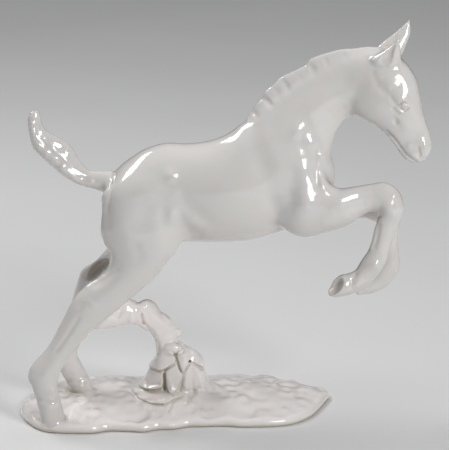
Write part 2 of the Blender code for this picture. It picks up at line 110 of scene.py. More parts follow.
class Loft:
    """Distance to a row of oval sections: (u1, v1, u2, v2, half width, y[, egg])."""

    def __init__(self, rows, mirror=False, steps=5, power=2.0, round0=0.0, round1=0.0):
        keys = []
        for row in rows:
            p, q = at(row[0], row[1], row[5]), at(row[2], row[3], row[5])
            if mirror is True or (len(row) > 7 and row[7]):
                p[1], q[1] = 2 * SAG - p[1], 2 * SAG - q[1]
            c, h = (p + q) / 2, (p - q) / 2
            keys.append([*c, h[0], h[2], row[4], row[6] if len(row) > 6 else 0.0])
        self.set(np.array(keys, float), steps, power, round0, round1)

    def set(self, k, steps, power, round0, round1):
        n = len(k)
        rows = []
        for i in range(n - 1):
            a, b, c, d = k[max(i - 1, 0)], k[i], k[i + 1], k[min(i + 2, n - 1)]
            for s in range(steps):
                t = s / steps
                rows.append(b + 0.5 * t * (c - a + t * (2 * a - 5 * b + 4 * c - d + t * (3 * (b - c) + d - a))))
        rows.append(k[-1])
        k = np.array(rows)
        self.power = power
        self.c, self.b, self.e = k[:, :3], np.maximum(k[:, 5], 0.05), k[:, 6]
        self.a = np.maximum(np.hypot(k[:, 3], k[:, 4]), 0.05)
        self.hat = k[:, 3:5] / np.hypot(k[:, 3], k[:, 4])[:, None]
        self.t = np.stack([-self.hat[:, 1], self.hat[:, 0]], 1)
        run = np.gradient(self.c[:, [0, 2]], axis=0)
        if np.sum(self.t * run) < 0:
            self.t = -self.t
        self.t32 = self.t.astype(np.float32)
        self.shift = (self.c[:, [0, 2]] * self.t).sum(1).astype(np.float32)
        self.ends = ((0, round0), (-1, round1))
        r = np.maximum(self.a, self.b)[:, None]
        self.lo = (self.c - r).min(0) - REACH
        self.hi = (self.c + r).max(0) + REACH

    def norm(self, al, be, a, b, e):
        """1 on the oval, and how fast that grows."""
        n = self.power
        x = np.abs(al) / a
        w = b * (1 + e * np.clip(al / a, -1, 1))
        y = np.abs(be) / w
        if n == 2.0:
            k0 = np.sqrt(x * x + y * y) + 1e-9
            return k0, np.sqrt((x / a) ** 2 + (y / w) ** 2) / k0 + 1e-9
        k0 = (x**n + y**n) ** (1 / n) + 1e-9
        return k0, k0 ** (1 - n) * np.sqrt((x ** (n - 1) / a) ** 2 + (y ** (n - 1) / w) ** 2) + 1e-9

    def oval(self, al, be, a, b, e):
        k0, g = self.norm(al, be, a, b, e)
        return np.maximum((k0 - 1) / g, -np.minimum(a, b))

    def dome(self, al, be, out, j, depth):
        """Beyond an end: a dome on the last section, or nothing but its flat face."""
        a, b, e = self.a[j], self.b[j], self.e[j]
        if not depth:
            return np.sqrt(np.maximum(self.oval(al, be, a, b, e), 0) ** 2 + out**2)
        k0, g = self.norm(al, be, a, b, e)
        k = np.sqrt(k0**2 + (out / depth) ** 2)
        return np.maximum((k - 1) * k / (np.sqrt((k0 * g) ** 2 + (out / depth**2) ** 2) + 1e-9), -min(a, b, depth))

    def near(self, P):
        out = np.empty(len(P))
        for i in range(0, len(P), 50000):
            out[i : i + 50000] = self.part(P[i : i + 50000])
        return out

    def part(self, P):
        x, y, z = (P[:, i].astype(np.float32) for i in range(3))
        s = x[:, None] * self.t32[:, 0] + z[:, None] * self.t32[:, 1] - self.shift
        ahead = s >= 0
        who, k = np.nonzero(ahead[:, :-1] & ~ahead[:, 1:])
        s0, s1 = s[who, k], s[who, k + 1]
        t = s0 / (s0 - s1)
        d = np.full(len(P), FAR, np.float64)
        if len(who):
            lerp = lambda m: m[k] * (1 - t) + m[k + 1] * t
            hx, hz = lerp(self.hat[:, 0]), lerp(self.hat[:, 1])
            al = ((x[who] - lerp(self.c[:, 0])) * hx + (z[who] - lerp(self.c[:, 2])) * hz) / np.hypot(hx, hz)
            found = self.oval(al, y[who] - lerp(self.c[:, 1]), lerp(self.a), lerp(self.b), lerp(self.e))
            first = np.concatenate([[True], who[1:] != who[:-1]])
            d[who[first]] = np.minimum.reduceat(found, np.nonzero(first)[0])
        for j, depth in self.ends:
            out = -s[:, 0] if j == 0 else s[:, -1]
            m = np.nonzero(out > 0)[0]
            if len(m):
                al = (x[m] - self.c[j, 0]) * self.hat[j, 0] + (z[m] - self.c[j, 2]) * self.hat[j, 1]
                d[m] = np.minimum(d[m], self.dome(al, y[m] - self.c[j, 1], out[m], j, depth))
        return d

    def __call__(self, P):
        return boxed(P, self.lo, self.hi, self.near)


class Ball:
    """Ellipsoid: centre, three half axes, turned about Y by angle degrees and then leaned about X."""

    def __init__(self, c, r, turn=0.0, lean=0.0, yaw=0.0):
        a, b, g = math.radians(turn), math.radians(lean), math.radians(yaw)
        ry = np.array([[math.cos(a), 0, math.sin(a)], [0, 1, 0], [-math.sin(a), 0, math.cos(a)]])
        rx = np.array([[1, 0, 0], [0, math.cos(b), -math.sin(b)], [0, math.sin(b), math.cos(b)]])
        rz = np.array([[math.cos(g), -math.sin(g), 0], [math.sin(g), math.cos(g), 0], [0, 0, 1]])
        self.c, self.r, self.m = np.array(c, float), np.array(r, float), rz @ rx @ ry
        self.lo, self.hi = self.c - max(r) - REACH, self.c + max(r) + REACH

    def near(self, P):
        q = (P - self.c) @ self.m
        k0 = np.sqrt(((q / self.r) ** 2).sum(1)) + 1e-9
        k1 = np.sqrt(((q / self.r**2) ** 2).sum(1)) + 1e-9
        return np.maximum(k0 * (k0 - 1) / k1, -min(self.r))

    def __call__(self, P):
        return boxed(P, self.lo, self.hi, self.near)


class Plate:
    """A bent leaf of clay with a rounded edge, facing the viewer until it is rolled, leaned back and turned."""

    def __init__(self, c, half, thick, roll=0.0, lean=0.0, yaw=0.0, bend=(0.0, 0.0), taper=0.0, power=2.2):
        r, b, g = math.radians(roll), math.radians(lean), math.radians(yaw)
        e1 = np.array([math.cos(r), 0, math.sin(r)])
        e2 = np.array([-math.sin(r), 0, math.cos(r)])
        n = np.array([0.0, -1.0, 0.0])
        rx = np.array([[1, 0, 0], [0, math.cos(b), math.sin(b)], [0, -math.sin(b), math.cos(b)]])
        rz = np.array([[math.cos(g), -math.sin(g), 0], [math.sin(g), math.cos(g), 0], [0, 0, 1]])
        self.m = (rz @ rx @ np.stack([e1, e2, n], 1))
        self.c, self.half, self.thick, self.bend, self.taper, self.power = np.array(c, float), half, thick, bend, taper, power
        self.lo, self.hi = self.c - max(half) * 1.3 - thick - REACH, self.c + max(half) * 1.3 + thick + REACH

    def near(self, P):
        q = (P - self.c) @ self.m
        a, b, n = self.half[0], self.half[1], self.power
        along = np.clip(q[:, 1] / b, -1, 1)
        w = np.maximum(a * (1 + self.taper * along), 0.3)
        x, y = np.abs(q[:, 0]) / w, np.abs(q[:, 1]) / b
        z = q[:, 2] + self.bend[0] * q[:, 0] ** 2 + self.bend[1] * q[:, 1] ** 2
        k0 = (x**n + y**n) ** (1 / n) + 1e-6
        g = k0 ** (1 - n) * np.sqrt((x ** (n - 1) / w) ** 2 + (y ** (n - 1) / b) ** 2) + 1e-6
        d = np.maximum((k0 - 1) / g, -min(a, b))
        return np.sqrt(np.maximum(d + self.thick, 0) ** 2 + z**2) - self.thick

    def __call__(self, P):
        return boxed(P, self.lo, self.hi, self.near)


# ------------------------------------------------------------- the foal's form
BARREL = [
    (114, 176, 110.5, 204, 9.5, 0),
    (117.5, 169, 110.5, 222, 14.5, 0),
    (128, 160, 116, 236, 18.8, 0),
    (146, 149, 140, 240, 20.5, 0),
    (166, 143.5, 168, 239, 20, 0),
    (187, 144, 193, 241, 20.5, 0),
    (208, 141.5, 217, 241, 21.5, 0),
    (226, 135, 243, 240, 21.5, 0),
    (239.5, 125.5, 266, 235, 20, 0),
    (250, 118, 290, 227, 18, 0),
    (256.5, 110, 314, 212, 16.5, 0),
    (262, 103, 331, 192, 15, 0),
    (268.5, 96, 335, 172, 13.2, 0),
    (278, 88, 331.5, 151, 11.6, 0),
    (293, 78, 334.5, 135, 10.2, 0),
    (311, 67, 342, 122, 9.0, 0),
    (331, 58, 351, 116, 8.4, -0.3),
    (352, 53, 362, 113, 8.4, -1.4),
    (368, 51.5, 377, 104, 8.2, -2.6),
    (382, 56, 389, 94, 7.0, -3.4),
]
NECK_FROM = 12                    # the section of BARREL where the neck is luted on
MANE = [
    (247.5, 117.5, 256, 126, 1.4, -0.4),
    (256.3, 104.2, 266, 115, 1.9, -0.6),
    (262.2, 98.8, 273, 109, 2.1, -0.8),
    (264.3, 92.6, 279, 105, 2.2, -0.9),
    (272.9, 85, 288, 99, 2.3, -1.0),
    (280.8, 77.4, 295, 93, 2.3, -1.0),
    (288.5, 73.4, 301, 88.5, 2.3, -1.0),
    (297.5, 69.3, 308, 84, 2.3, -1.0),
    (305.3, 65.1, 315, 79, 2.2, -1.0),
    (309.8, 59.7, 321, 73.5, 2.2, -1.0),
    (320, 54.9, 329, 68, 2.1, -1.0),
    (330, 52.1, 337, 64, 2.0, -1.0),
    (341, 49.2, 345, 61, 2.0, -1.0),
    (355, 48.4, 356, 59, 1.9, -1.0),
    (367, 46.9, 367, 57, 1.9, -1.0),
    (376.5, 48.2, 375, 57, 1.8, -1.0),
]
HEAD = [
    (398, 54, 372, 57, 7, -2.4, 0.0),
    (409.5, 67, 362, 84, 10.2, -3.2, 0.08),
    (417, 80, 356, 104, 11.2, -4.2, 0.15),
    (420.3, 93.5, 360, 116.5, 10.8, -5.2, 0.2),
    (422.6, 107, 373, 124.5, 9.2, -6.2, 0.2),
    (425.8, 119.5, 384, 132.5, 7.4, -7.2, 0.1),
    (429.3, 131, 392.5, 142.5, 6.3, -8.1, 0.0),
    (431.8, 141, 400, 152.5, 6.3, -8.8, 0.0),
    (431.3, 149.5, 403.5, 157.5, 5.8, -9.3, 0.0),
    (426.5, 157, 410.5, 162, 4.2, -9.6, 0.0),
]
EAR_RIGHT = [
    (398, 72, 379, 71, 2.6, -6.4),
    (400, 66.5, 374.5, 65.5, 3.6, -7.3),
    (400.7, 61.5, 371.8, 60.5, 4.2, -8.3),
    (400.8, 57, 375.3, 56.8, 4.1, -9.1),
    (400.7, 51.5, 382.8, 51.6, 3.4, -10.0),
    (400.2, 46, 390.2, 46.4, 2.4, -10.8),
    (399.4, 41.5, 395, 42, 1.4, -11.4),
    (398.5, 38.4, 397.2, 38.6, 0.6, -11.8),
]
EAR_LEFT = [
    (402.3, 53.5, 375.5, 53, 3.4, 3.5),
    (404.8, 48, 377.6, 47.6, 2.8, 4.2),
    (407.6, 41, 384.3, 41, 2.1, 5.2),
    (409.8, 34.5, 392.6, 34.8, 1.6, 6.0),
    (410.3, 28.5, 400.0, 28.6, 1.3, 6.8),
    (410.0, 23.5, 405.6, 23.8, 0.9, 7.4),
    (409.4, 20.0, 408.4, 20.2, 0.5, 7.8),
]
TAIL = [
    (117, 173, 108, 194, 4.4, 0, 0),
    (109, 171.3, 101, 191, 4.4, 0, -0.1),
    (100, 171, 92, 188, 4.4, 0, -0.25),
    (89, 170, 79, 184.2, 4.8, 0, -0.4),
    (81, 162, 67, 177.8, 5.4, 0, -0.45),
    (72.5, 148.5, 54, 167.8, 6.0, 0, -0.45),
    (61.5, 139.5, 42, 157.3, 5.8, 0, -0.45),
    (50, 133.2, 32.5, 146.5, 5.0, 0, -0.4),
    (43.2, 126, 28.4, 131, 4.0, 0, -0.3),
    (40.6, 117.5, 27.7, 120, 3.0, 0, -0.2),
    (38.6, 112, 30.5, 114.2, 1.8, 0, 0),
]
HAUNCH = [
    (163, 190, 101.8, 204, 8.4, -10.6, 0.1),
    (177, 225, 99.7, 226.5, 11.2, -11.6, 0.12),
]
HIND_TOP = [
    (178, 247, 103.2, 241, 10.4, -12.5, 0.12),
    (169, 260, 110, 254, 9.6, -13.4, 0.12),
    (156, 276.5, 108.5, 267, 8.6, -14.4),
    (139, 291.5, 98.5, 278.5, 7.2, -15.6),
    (119, 308.5, 85, 287, 6.2, -17.0),
]
HIND_RIGHT = HIND_TOP + [
    (100, 324, 73.5, 299, 6.2, -17.8),
    (83.5, 339.5, 59.5, 326, 4.8, -18.6),
    (70, 357, 47.5, 347.5, 4.6, -19.2),
    (60.5, 372, 28.3, 371.5, 5.8, -19.8),
    (57.6, 386, 32.5, 388, 5.0, -20.4),
    (60.5, 400, 37, 402.5, 6.2, -21),
    (65, 416.5, 41, 420.5, 7.4, -21.4),
    (66, 422, 42, 426, 7.4, -21.6),
]
HIND_LEFT = [
    (151, 264, 103.5, 252.5, 8.6, 14.4),
    (134, 279, 93.5, 261, 7.2, 15.6),
    (116, 296, 82.5, 269, 6.2, 17.0),
    (104, 308, 77.5, 280, 6.2, 17.6),
    (90.5, 325, 69.5, 308, 4.9, 18.4),
    (81.5, 341.5, 59, 335, 4.6, 19),
    (77, 353, 50, 354, 5.8, 19.8),
    (82.5, 365.5, 60.5, 371, 5.0, 20.6),
    (88, 375, 66, 381, 6.2, 21.6),
    (93.5, 387, 70.5, 390.5, 7.2, 22.2),
    (95, 394, 72, 397, 7.2, 22.4),
]
SHOULDER = [
    (296, 150, 266, 168, 4.2, -9.6),
    (312, 168, 271, 204, 5.8, -10.6),
    (326, 182, 285, 228.5, 8.0, -13.2),
    (337, 188.5, 303, 236.5, 8.0, -13.2),
]
SHOULDER_LEFT = [
    (292, 146, 264, 162, 4.2, 9.6),
    (306, 172, 270, 200, 5.8, 10.6),
    (320, 183, 285, 222, 8.2, 12.6),
    (332.5, 188, 303, 228, 8.4, 12.2),
    (345, 191.5, 325, 226, 7.6, 12.0),
]
FORE_TOP = (343.5, 189.3, 323, 233, 7.7, -13)
FORE_RIGHT = [
    FORE_TOP,
    (357, 186.7, 347, 225.3, 6.5, -12.1),
    (372, 184, 366.5, 212.5, 5.5, -11.5),
    (385.5, 182.7, 376, 211.3, 5.7, -11.6),
    (398, 190.5, 378.5, 212.5, 5.9, -12.0),
    (404.3, 206, 379.5, 215.5, 5.8, -12.4),
    (400.5, 219.5, 377, 221, 4.8, -12.8),
    (394.3, 235, 373.5, 235, 4.2, -13),
    (389.7, 249, 369, 249, 4.4, -13.4),
    (385.5, 263.5, 360.5, 262, 5.4, -14),
    (373.5, 280, 355, 270.5, 4.6, -14.6),
    (359, 290, 347, 274, 5.6, -15),
    (347, 294.8, 340, 275.8, 6.6, -15.4),
    (335.5, 296.8, 333.5, 281.5, 6.3, -15.8),
    (330, 295.2, 330.2, 289, 4.6, -16.0),
]
FORE_LEFT = [
    (357.5, 193, 347, 222, 6.3, 12),
    (371, 192, 362, 217.5, 5.6, 12),
    (386, 191, 372.5, 220.5, 5.8, 12),
    (398.5, 199, 376.5, 222.5, 6.0, 12),
    (402, 213, 379, 226, 5.8, 12),
    (398.5, 229, 380, 232, 4.6, 12),
    (398, 243, 381, 245, 4.2, 12),
    (399.2, 256.5, 380, 256.5, 4.6, 12),
    (398.5, 270.5, 376, 266, 5.2, 12),
    (387, 285.5, 372, 273.5, 4.6, 12),
    (373.5, 292.3, 363, 280, 5.4, 12),
    (358.5, 294.5, 354.5, 285.5, 5.4, 12),
]

barrel = Loft(BARREL, steps=6, round0=2.2, round1=4.0)
mane = Loft(MANE, steps=4, round0=1.0, round1=1.5)
head = Loft(HEAD, steps=9, round0=3.0, round1=1.4, power=2.45)
ear_right, ear_left = Loft(EAR_RIGHT, round0=2.0, round1=0.6), Loft(EAR_LEFT, round0=2.0, round1=0.6)
tail = Loft(TAIL, round1=1.2)
hind_right = Loft(HAUNCH + HIND_RIGHT, steps=6, round0=9.0)
hind_left = Loft([(*r, True) for r in HAUNCH + HIND_TOP[:2]] + HIND_LEFT, steps=4, round0=9.0)
fore_right = Loft(SHOULDER + FORE_RIGHT, steps=6, round0=5.0, round1=1.0)
fore_left = Loft(SHOULDER_LEFT + FORE_LEFT, steps=4, round0=5.0, round1=1.0)

# --------------------------------------------------------------- ground pieces
BRANCH = [
    (96, 310, 93, 327.5, 9.0, 0),
    (108, 304.5, 101, 328.5, 9.5, 0.4),
    (121, 301, 114, 326.5, 8.0, 1.0),
    (131, 300.3, 126, 323.5, 6.8, 1.8),
    (138, 301.8, 134, 323.3, 6.5, 2.8),
    (147, 300.3, 139.5, 325.5, 6.8, 4.0),
    (154.5, 303.0, 145.6, 330, 6.6, 5.6),
    (160.5, 309.8, 150.8, 333.2, 6.3, 7.2),
    (168.5, 317.2, 154, 338, 6.1, 9.4),
    (174.8, 325, 155.3, 344.5, 6.1, 11.6),
    (177.5, 335, 156, 351, 6.1, 13.6),
    (179, 345, 156, 358, 6.4, 15.4),
    (182, 358, 154, 368, 7.0, 17.5),
]
branch = Loft(BRANCH, steps=4, round0=3.0, power=2.25)


def upright(rows, **more):
    """A row of level ovals (u1, u2, v, y, half depth)."""
    return Loft([(u2, v, u1, v, wide, y) for u1, u2, v, y, wide in rows], **more)


twig = Plate(at(177.9, 332.6, 11.8), (2.0, 2.2), 0.9, roll=-20, yaw=15, power=3.0)
stump = upright(
    [(126, 228, 398, 24, 12.5), (135, 218, 388, 23.5, 11.6), (143.5, 209, 377, 22, 10.8), (149.5, 204, 367, 20.5, 10.2),
     (153.5, 202.5, 359, 19.2, 9.4), (157.5, 196, 351.5, 18, 8.2), (162, 184, 345, 16.8, 6.2)],
    round1=2.0,
)
bud = Ball(at(172, 347.6, 9.4), (6.4, 4.0, 3.5), turn=5, lean=-15)
leaf_eye = Ball(at(189.6, 362.9, 8.0), (0.8, 5.0, 1.1), turn=24)

OUTLINE = (
    [level(u, v, 1.6) for u, v in (
        (20, 410), (22.5, 416.5), (29.5, 423), (41, 429), (56, 431), (72, 431.6), (92, 431.6), (108, 429.3), (126, 429.6), (144, 430.2),
        (158, 428), (173, 427.6), (188, 425.2), (203, 424.9), (225, 424.4), (240, 425.4), (255, 425.2), (272, 424.8), (290, 423), (302.5, 419.4),
        (313, 413.9), (321, 406.3), (327.5, 398.7))]
    + [level(u, v, 4.6) for u, v in (
        (329, 392), (325, 387), (314, 385.2), (303, 383), (294, 378.8), (285, 379.3), (274, 375.4), (261, 373.4), (252, 375.2), (242, 373.2),
        (229, 373.4), (205, 374), (180, 374), (158, 374.3), (136, 375.4), (115, 375), (89, 375.8), (62, 380), (40, 388), (30, 392.5), (22.5, 400.5))]
)
OUTLINE = np.array(OUTLINE)[:, :2]
_n = len(OUTLINE)
_fine = []
for _i in range(_n):
    _a, _b, _c, _d = (OUTLINE[(_i + _k) % _n] for _k in (-1, 0, 1, 2))
    for _s in range(4):
        _t = _s / 4
        _fine.append(_b + 0.5 * _t * (_c - _a + _t * (2 * _a - 5 * _b + 4 * _c - _d + _t * (3 * (_b - _c) + _d - _a))))
RIM = np.array(_fine)


def rim_distance(P):
    """Signed distance to the base's outline in plan, minus inside."""
    out = np.empty(len(P))
    a, b = RIM, np.roll(RIM, -1, 0)
    ab = b - a
    for i in range(0, len(P), 40000):
        p = P[i : i + 40000, :2]
        ap = p[:, None, :] - a[None]
        t = np.clip((ap * ab).sum(2) / (ab * ab).sum(1), 0, 1)
        d = np.sqrt(((ap - t[..., None] * ab) ** 2).sum(2)).min(1)
        y0, y1 = a[:, 1], b[:, 1]
        cross = (y0[None] > p[:, 1, None]) != (y1[None] > p[:, 1, None])
        x = a[None, :, 0] + (p[:, 1, None] - y0[None]) / np.where(y1 == y0, 1e-9, y1 - y0)[None] * ab[None, :, 0]
        inside = ((p[:, 0, None] < x) & cross).sum(1) % 2 == 1
        out[i : i + 40000] = np.where(inside, -d, d)
    return out


BASE_TOP = 5.0


def waves(P, seed, count, length, stretch=(1.0, 1.0)):
    """Smooth seeded unevenness, about -1 to 1: a sum of plane waves in plan."""
    rng = np.random.default_rng(seed)
    total = np.zeros(len(P))
    for _ in range(count):
        ang = rng.uniform(0, 2 * math.pi)
        k = 2 * math.pi / (length * rng.uniform(0.6, 1.6))
        total += np.sin((P[:, 0] * math.cos(ang) * stretch[0] + P[:, 1] * math.sin(ang) * stretch[1]) * k + rng.uniform(0, 6.28))
    return total / math.sqrt(count)


def ground_height(P, rim):
    """Top of the base over a plan point."""
    inner = np.clip(-rim / 26.0, 0, 1)
    h = BASE_TOP + 2.2 * inner * inner * (3 - 2 * inner)
    fade = np.clip(-rim / 5.0, 0, 1)
    calm = np.clip(0.7 + 0.6 * waves(P, 11, 5, 40.0), 0.2, 1.3)
    h = h + (0.3 + 0.7 * fade) * (0.4 * waves(P, 3, 6, 24.0) + 0.32 * calm * waves(P, 5, 9, 12.0, (1.1, 0.7)) + 0.16 * calm * waves(P, 7, 11, 7.0, (1.1, 0.6)))
    for u, v, r, up in ((52, 399, 13, 1.6), (118, 400, 17, 1.0), (100, 412, 16, 0.9), (205, 400, 18, 1.6), (250, 392, 20, 0.8), (290, 402, 18, 0.8), (160, 398, 18, 1.6), (24, 404, 9, 2.2)):
        c = level(u, v, 6.0)
        h = h + fade * up * np.exp(-((P[:, 0] - c[0]) ** 2 + (P[:, 1] - c[1]) ** 2) / r**2)
    return h


def base_near(P):
    rim = rim_distance(P)
    top = P[:, 2] - ground_height(P, rim)
    side = rim + 0.35 * ((P[:, 2] - 2.6) / 2.0) ** 2
    return smax(smax(top * 0.93, side, 3.2), -P[:, 2], 0.8)


def base(P):
    lo = np.array([RIM[:, 0].min(), RIM[:, 1].min(), 0]) - REACH
    hi = np.array([RIM[:, 0].max(), RIM[:, 1].max(), 12]) + REACH
    return boxed(P, lo, hi, base_near)


# ------------------------------------------------------------ modelling strokes
# (points in the sketch, half width in sketch units, height mm, nearest y, farthest y, both sides)
BODY = (-60, 4)
STROKES = []


def stroke(points, width, height, depth=BODY, both=False, taper=True):
    STROKES.append((np.array(points, float), width, height, depth, both, taper))


def face_middle(P):
    """How far the head's own middle has turned from the foal's, in mm."""
    return -2.4 - 7.0 * np.clip((seen(P)[1] - 56) / 100, 0, 1)


def laid(P, strokes, middle=None):
    """Sum of the strokes at points, in mm."""
    total = np.zeros(len(P))
    for mirrored in (False, True):
        Q = flip(P) if mirrored else P
        if mirrored and middle:
            Q[:, 1] += 2 * middle(P)
        u, v = seen(Q)
        y = Q[:, 1] - SAG - (middle(P) if middle else 0)
        for pts, width, height, (near, far), both, taper in strokes:
            if mirrored and not both:
                continue
            lo, hi = pts.min(0) - 3 * width, pts.max(0) + 3 * width
            m = (u > lo[0]) & (u < hi[0]) & (v > lo[1]) & (v < hi[1]) & (y > near) & (y < far)
            if not m.any():
                continue
            p = np.stack([u[m], v[m]], 1)
            best = np.full(len(p), 1e9)
            along = np.zeros(len(p))
            if len(pts) == 1:
                best = ((p - pts[0]) ** 2).sum(1)
            else:
                lens = np.linalg.norm(np.diff(pts, axis=0), axis=1)
                start = np.concatenate([[0], np.cumsum(lens)])
                for i in range(len(pts) - 1):
                    ab = pts[i + 1] - pts[i]
                    t = np.clip(((p - pts[i]) @ ab) / (ab @ ab), 0, 1)
                    d2 = ((p - pts[i] - t[:, None] * ab) ** 2).sum(1)
                    closer = d2 < best
                    best = np.where(closer, d2, best)
                    along = np.where(closer, (start[i] + t * lens[i]) / start[-1], along)
            g = np.exp(-best / width**2)
            if taper and len(pts) > 1:
                t = np.clip(np.minimum(along, 1 - along) * start[-1] / (1.4 * width), 0, 1)
                g = g * (0.25 + 0.75 * t * t * (3 - 2 * t))
            gate = np.clip((far - y[m]) / 3.0, 0, 1) * np.clip((y[m] - near) / 2.0, 0, 1)
            total[m] += height * g * gate
    return total


def rounded(points, steps=3):
    """A closed outline, with smooth curves through its points."""
    points = np.array(points, float)
    n, out = len(points), []
    for i in range(n):
        a, b, c, d = (points[(i + k) % n] for k in (-1, 0, 1, 2))
        for t in np.arange(steps) / steps:
            out.append(b + 0.5 * t * (c - a + t * (2 * a - 5 * b + 4 * c - d + t * (3 * (b - c) + d - a))))
    return np.array(out)


def within(u, v, outline):
    """Distance from the outline in sketch units, plus inside."""
    p = np.stack([u, v], 1)
    best = np.full(len(p), 1e9)
    odd = np.zeros(len(p), bool)
    for a, b in zip(outline, np.roll(outline, -1, 0)):
        ab = b - a
        t = np.clip(((p - a) @ ab) / (ab @ ab), 0, 1)
        best = np.minimum(best, ((p - a - t[:, None] * ab) ** 2).sum(1))
        crosses = (a[1] > p[:, 1]) != (b[1] > p[:, 1])
        odd ^= crosses & (p[:, 0] < a[0] + (p[:, 1] - a[1]) / (ab[1] if ab[1] else 1e-9) * ab[0])
    return np.sqrt(best) * np.where(odd, 1, -1)


# leaves and bark laid over the stump and the ground: outline, height mm, softness of its edge, the way it rises, height at the low side
HEAP = (-4, 21)
PATCHES = {
    "leaf_front": (rounded([(147.8, 364.6), (152.2, 360), (157.8, 356.2), (160.2, 351), (165, 350.2), (171, 352), (175.4, 357), (175.2, 361.6), (170, 365.5), (161.5, 370.2), (154, 368.5)]), 2.2, 0.9, (0.25, 1.0), 0.15, HEAP),
    "leaf_curled": (rounded([(177, 353.5), (184, 348.4), (192.2, 346.2), (198, 350.6), (203.4, 358), (203.6, 366.8), (196.7, 364), (190.5, 362), (186.7, 366), (182.3, 372.6), (178.5, 362)]), 1.9, 0.9, (0.1, 1.0), 0.35, HEAP),
    "bark_stub": (rounded([(165.8, 371.5), (170, 367), (175.5, 363.5), (179, 369), (181.5, 374), (179, 384), (176, 391), (172, 393.2), (168, 391.5), (166, 382)]), 1.1, 0.9, (-0.2, 1.0), 0.5, HEAP),
    "rock_left": (rounded([(147.5, 366), (154, 369.3), (161.5, 371), (163, 372.5), (163.2, 384.5), (160, 388.2), (152, 389.6), (143, 388), (135.5, 382), (137, 375.5)]), 1.5, 1.1, (0.3, 1.0), 0.2, HEAP),
    "rock_right": (rounded([(184, 373), (190.5, 364.5), (197, 366), (203, 369.5), (207.5, 376), (209, 383), (204, 388), (194, 389.5), (186, 388.5), (182, 383)]), 0.5, 1.6, (0.0, 1.0), 0.6, HEAP),
    "ground_leaf": (rounded([(130, 388), (136, 388.5), (146, 391.5), (160, 391), (172, 394.5), (175, 397.5), (165, 403.4), (150, 402.6), (138, 397)]), 1.2, 1.5, (0.0, 1.0), 0.1, (-16, 34)),
}


def patched(P):
    """Sum of the patches at points, in mm."""
    total = np.zeros(len(P))
    u, v = seen(P)
    y = P[:, 1] - SAG
    for outline, height, soft, rise, low, (near, far) in PATCHES.values():
        lo, hi = outline.min(0) - 2 * soft, outline.max(0) + 2 * soft
        m = (u > lo[0]) & (u < hi[0]) & (v > lo[1]) & (v < hi[1]) & (y > near) & (y < far)
        if not m.any():
            continue
        along = outline @ rise
        t = np.clip((u[m] * rise[0] + v[m] * rise[1] - along.min()) / np.ptp(along), 0, 1)
        g = np.clip(0.5 + within(u[m], v[m], outline) / (2 * soft), 0, 1)
        total[m] += height * (low + (1 - low) * t) * g * g * (3 - 2 * g) * np.clip((far - y[m]) / 3, 0, 1)
    return total


NEAR_LEG, FAR_LEG, FACE = (-60, -5), (4, 60), (-40, 1)
# hindquarters
stroke([(171, 176)], 6.5, 1.3, both=True)                                             # point of the hip
stroke([(135, 178), (150, 190), (158, 205)], 12, 0.6, both=True)                    # croup muscle
stroke([(152, 192), (145, 206), (143, 220), (146, 236)], 10, -0.8, both=True)        # hollow of the thigh
stroke([(171, 202), (172, 213), (170, 228)], 6.5, 0.9, both=True)
stroke([(172, 215)], 6.0, 0.55, both=True)                   # stifle ridge
stroke([(108, 196), (106, 214), (108, 234)], 9, -1.0, both=True)                     # rear edge
stroke([(120, 212), (126, 232), (136, 248)], 10, 0.6, both=True)                    # hamstring
stroke([(133, 240), (140, 255), (138, 266)], 6, -0.5, NEAR_LEG, both=True)
stroke([(176, 188), (187, 204), (200, 216), (216, 226)], 8, -0.8, both=True)        # flank fold
stroke([(184, 224), (194, 233), (206, 238)], 6, -0.6, both=True)                    # lower flank fold
stroke([(187, 214), (200, 226), (214, 233)], 6, 0.35, both=True)
stroke([(200, 186), (222, 191), (246, 196)], 18, 0.6, both=True)                    # ribs
# shoulder, chest and neck
stroke([(262, 124), (270, 146), (279, 166), (284, 182)], 10, 0.5, both=True)        # blade ridge
stroke([(252, 142), (260, 162), (268, 182)], 10, -0.5, both=True)                   # behind the blade
stroke([(270, 194), (276, 208), (282, 222)], 8, -0.9, both=True)                    # behind the elbow
stroke([(291, 202), (297, 218), (300, 229)], 9, 0.6, both=True)                     # elbow
stroke([(288, 126), (297, 131), (306, 136)], 8.5, 1.4, both=True)                   # neck muscle over the chest
stroke([(312.5, 143.5)], 6.5, 0.9, both=True)
stroke([(302, 158), (305, 180), (306, 200), (304, 216)], 9, 1.2, both=True)         # point of the shoulder
stroke([(317, 148), (316, 168), (318, 190)], 3.6, -0.6, both=True)                  # chest furrow
stroke([(321, 156)], 3.6, 0.5, both=True)
stroke([(319, 165), (322, 178), (325, 190)], 5, 0.8, both=True)
stroke([(302, 184), (302.5, 200), (301, 213)], 8, 1.2, both=True)
stroke([(270.6, 101), (289.7, 86), (319, 65)], 4, -0.4, (-30, 30))                  # under the crest
stroke([(276, 114), (296, 98), (320, 86), (344, 80)], 10, -0.5, both=True)
stroke([(302, 116), (320, 104), (340, 96)], 11, 0.5, both=True)
stroke([(330, 84), (346, 79), (363, 77)], 11, -0.9, both=True)
stroke([(330, 124), (338, 112), (347, 104)], 5, -0.5, both=True)                    # throat groove
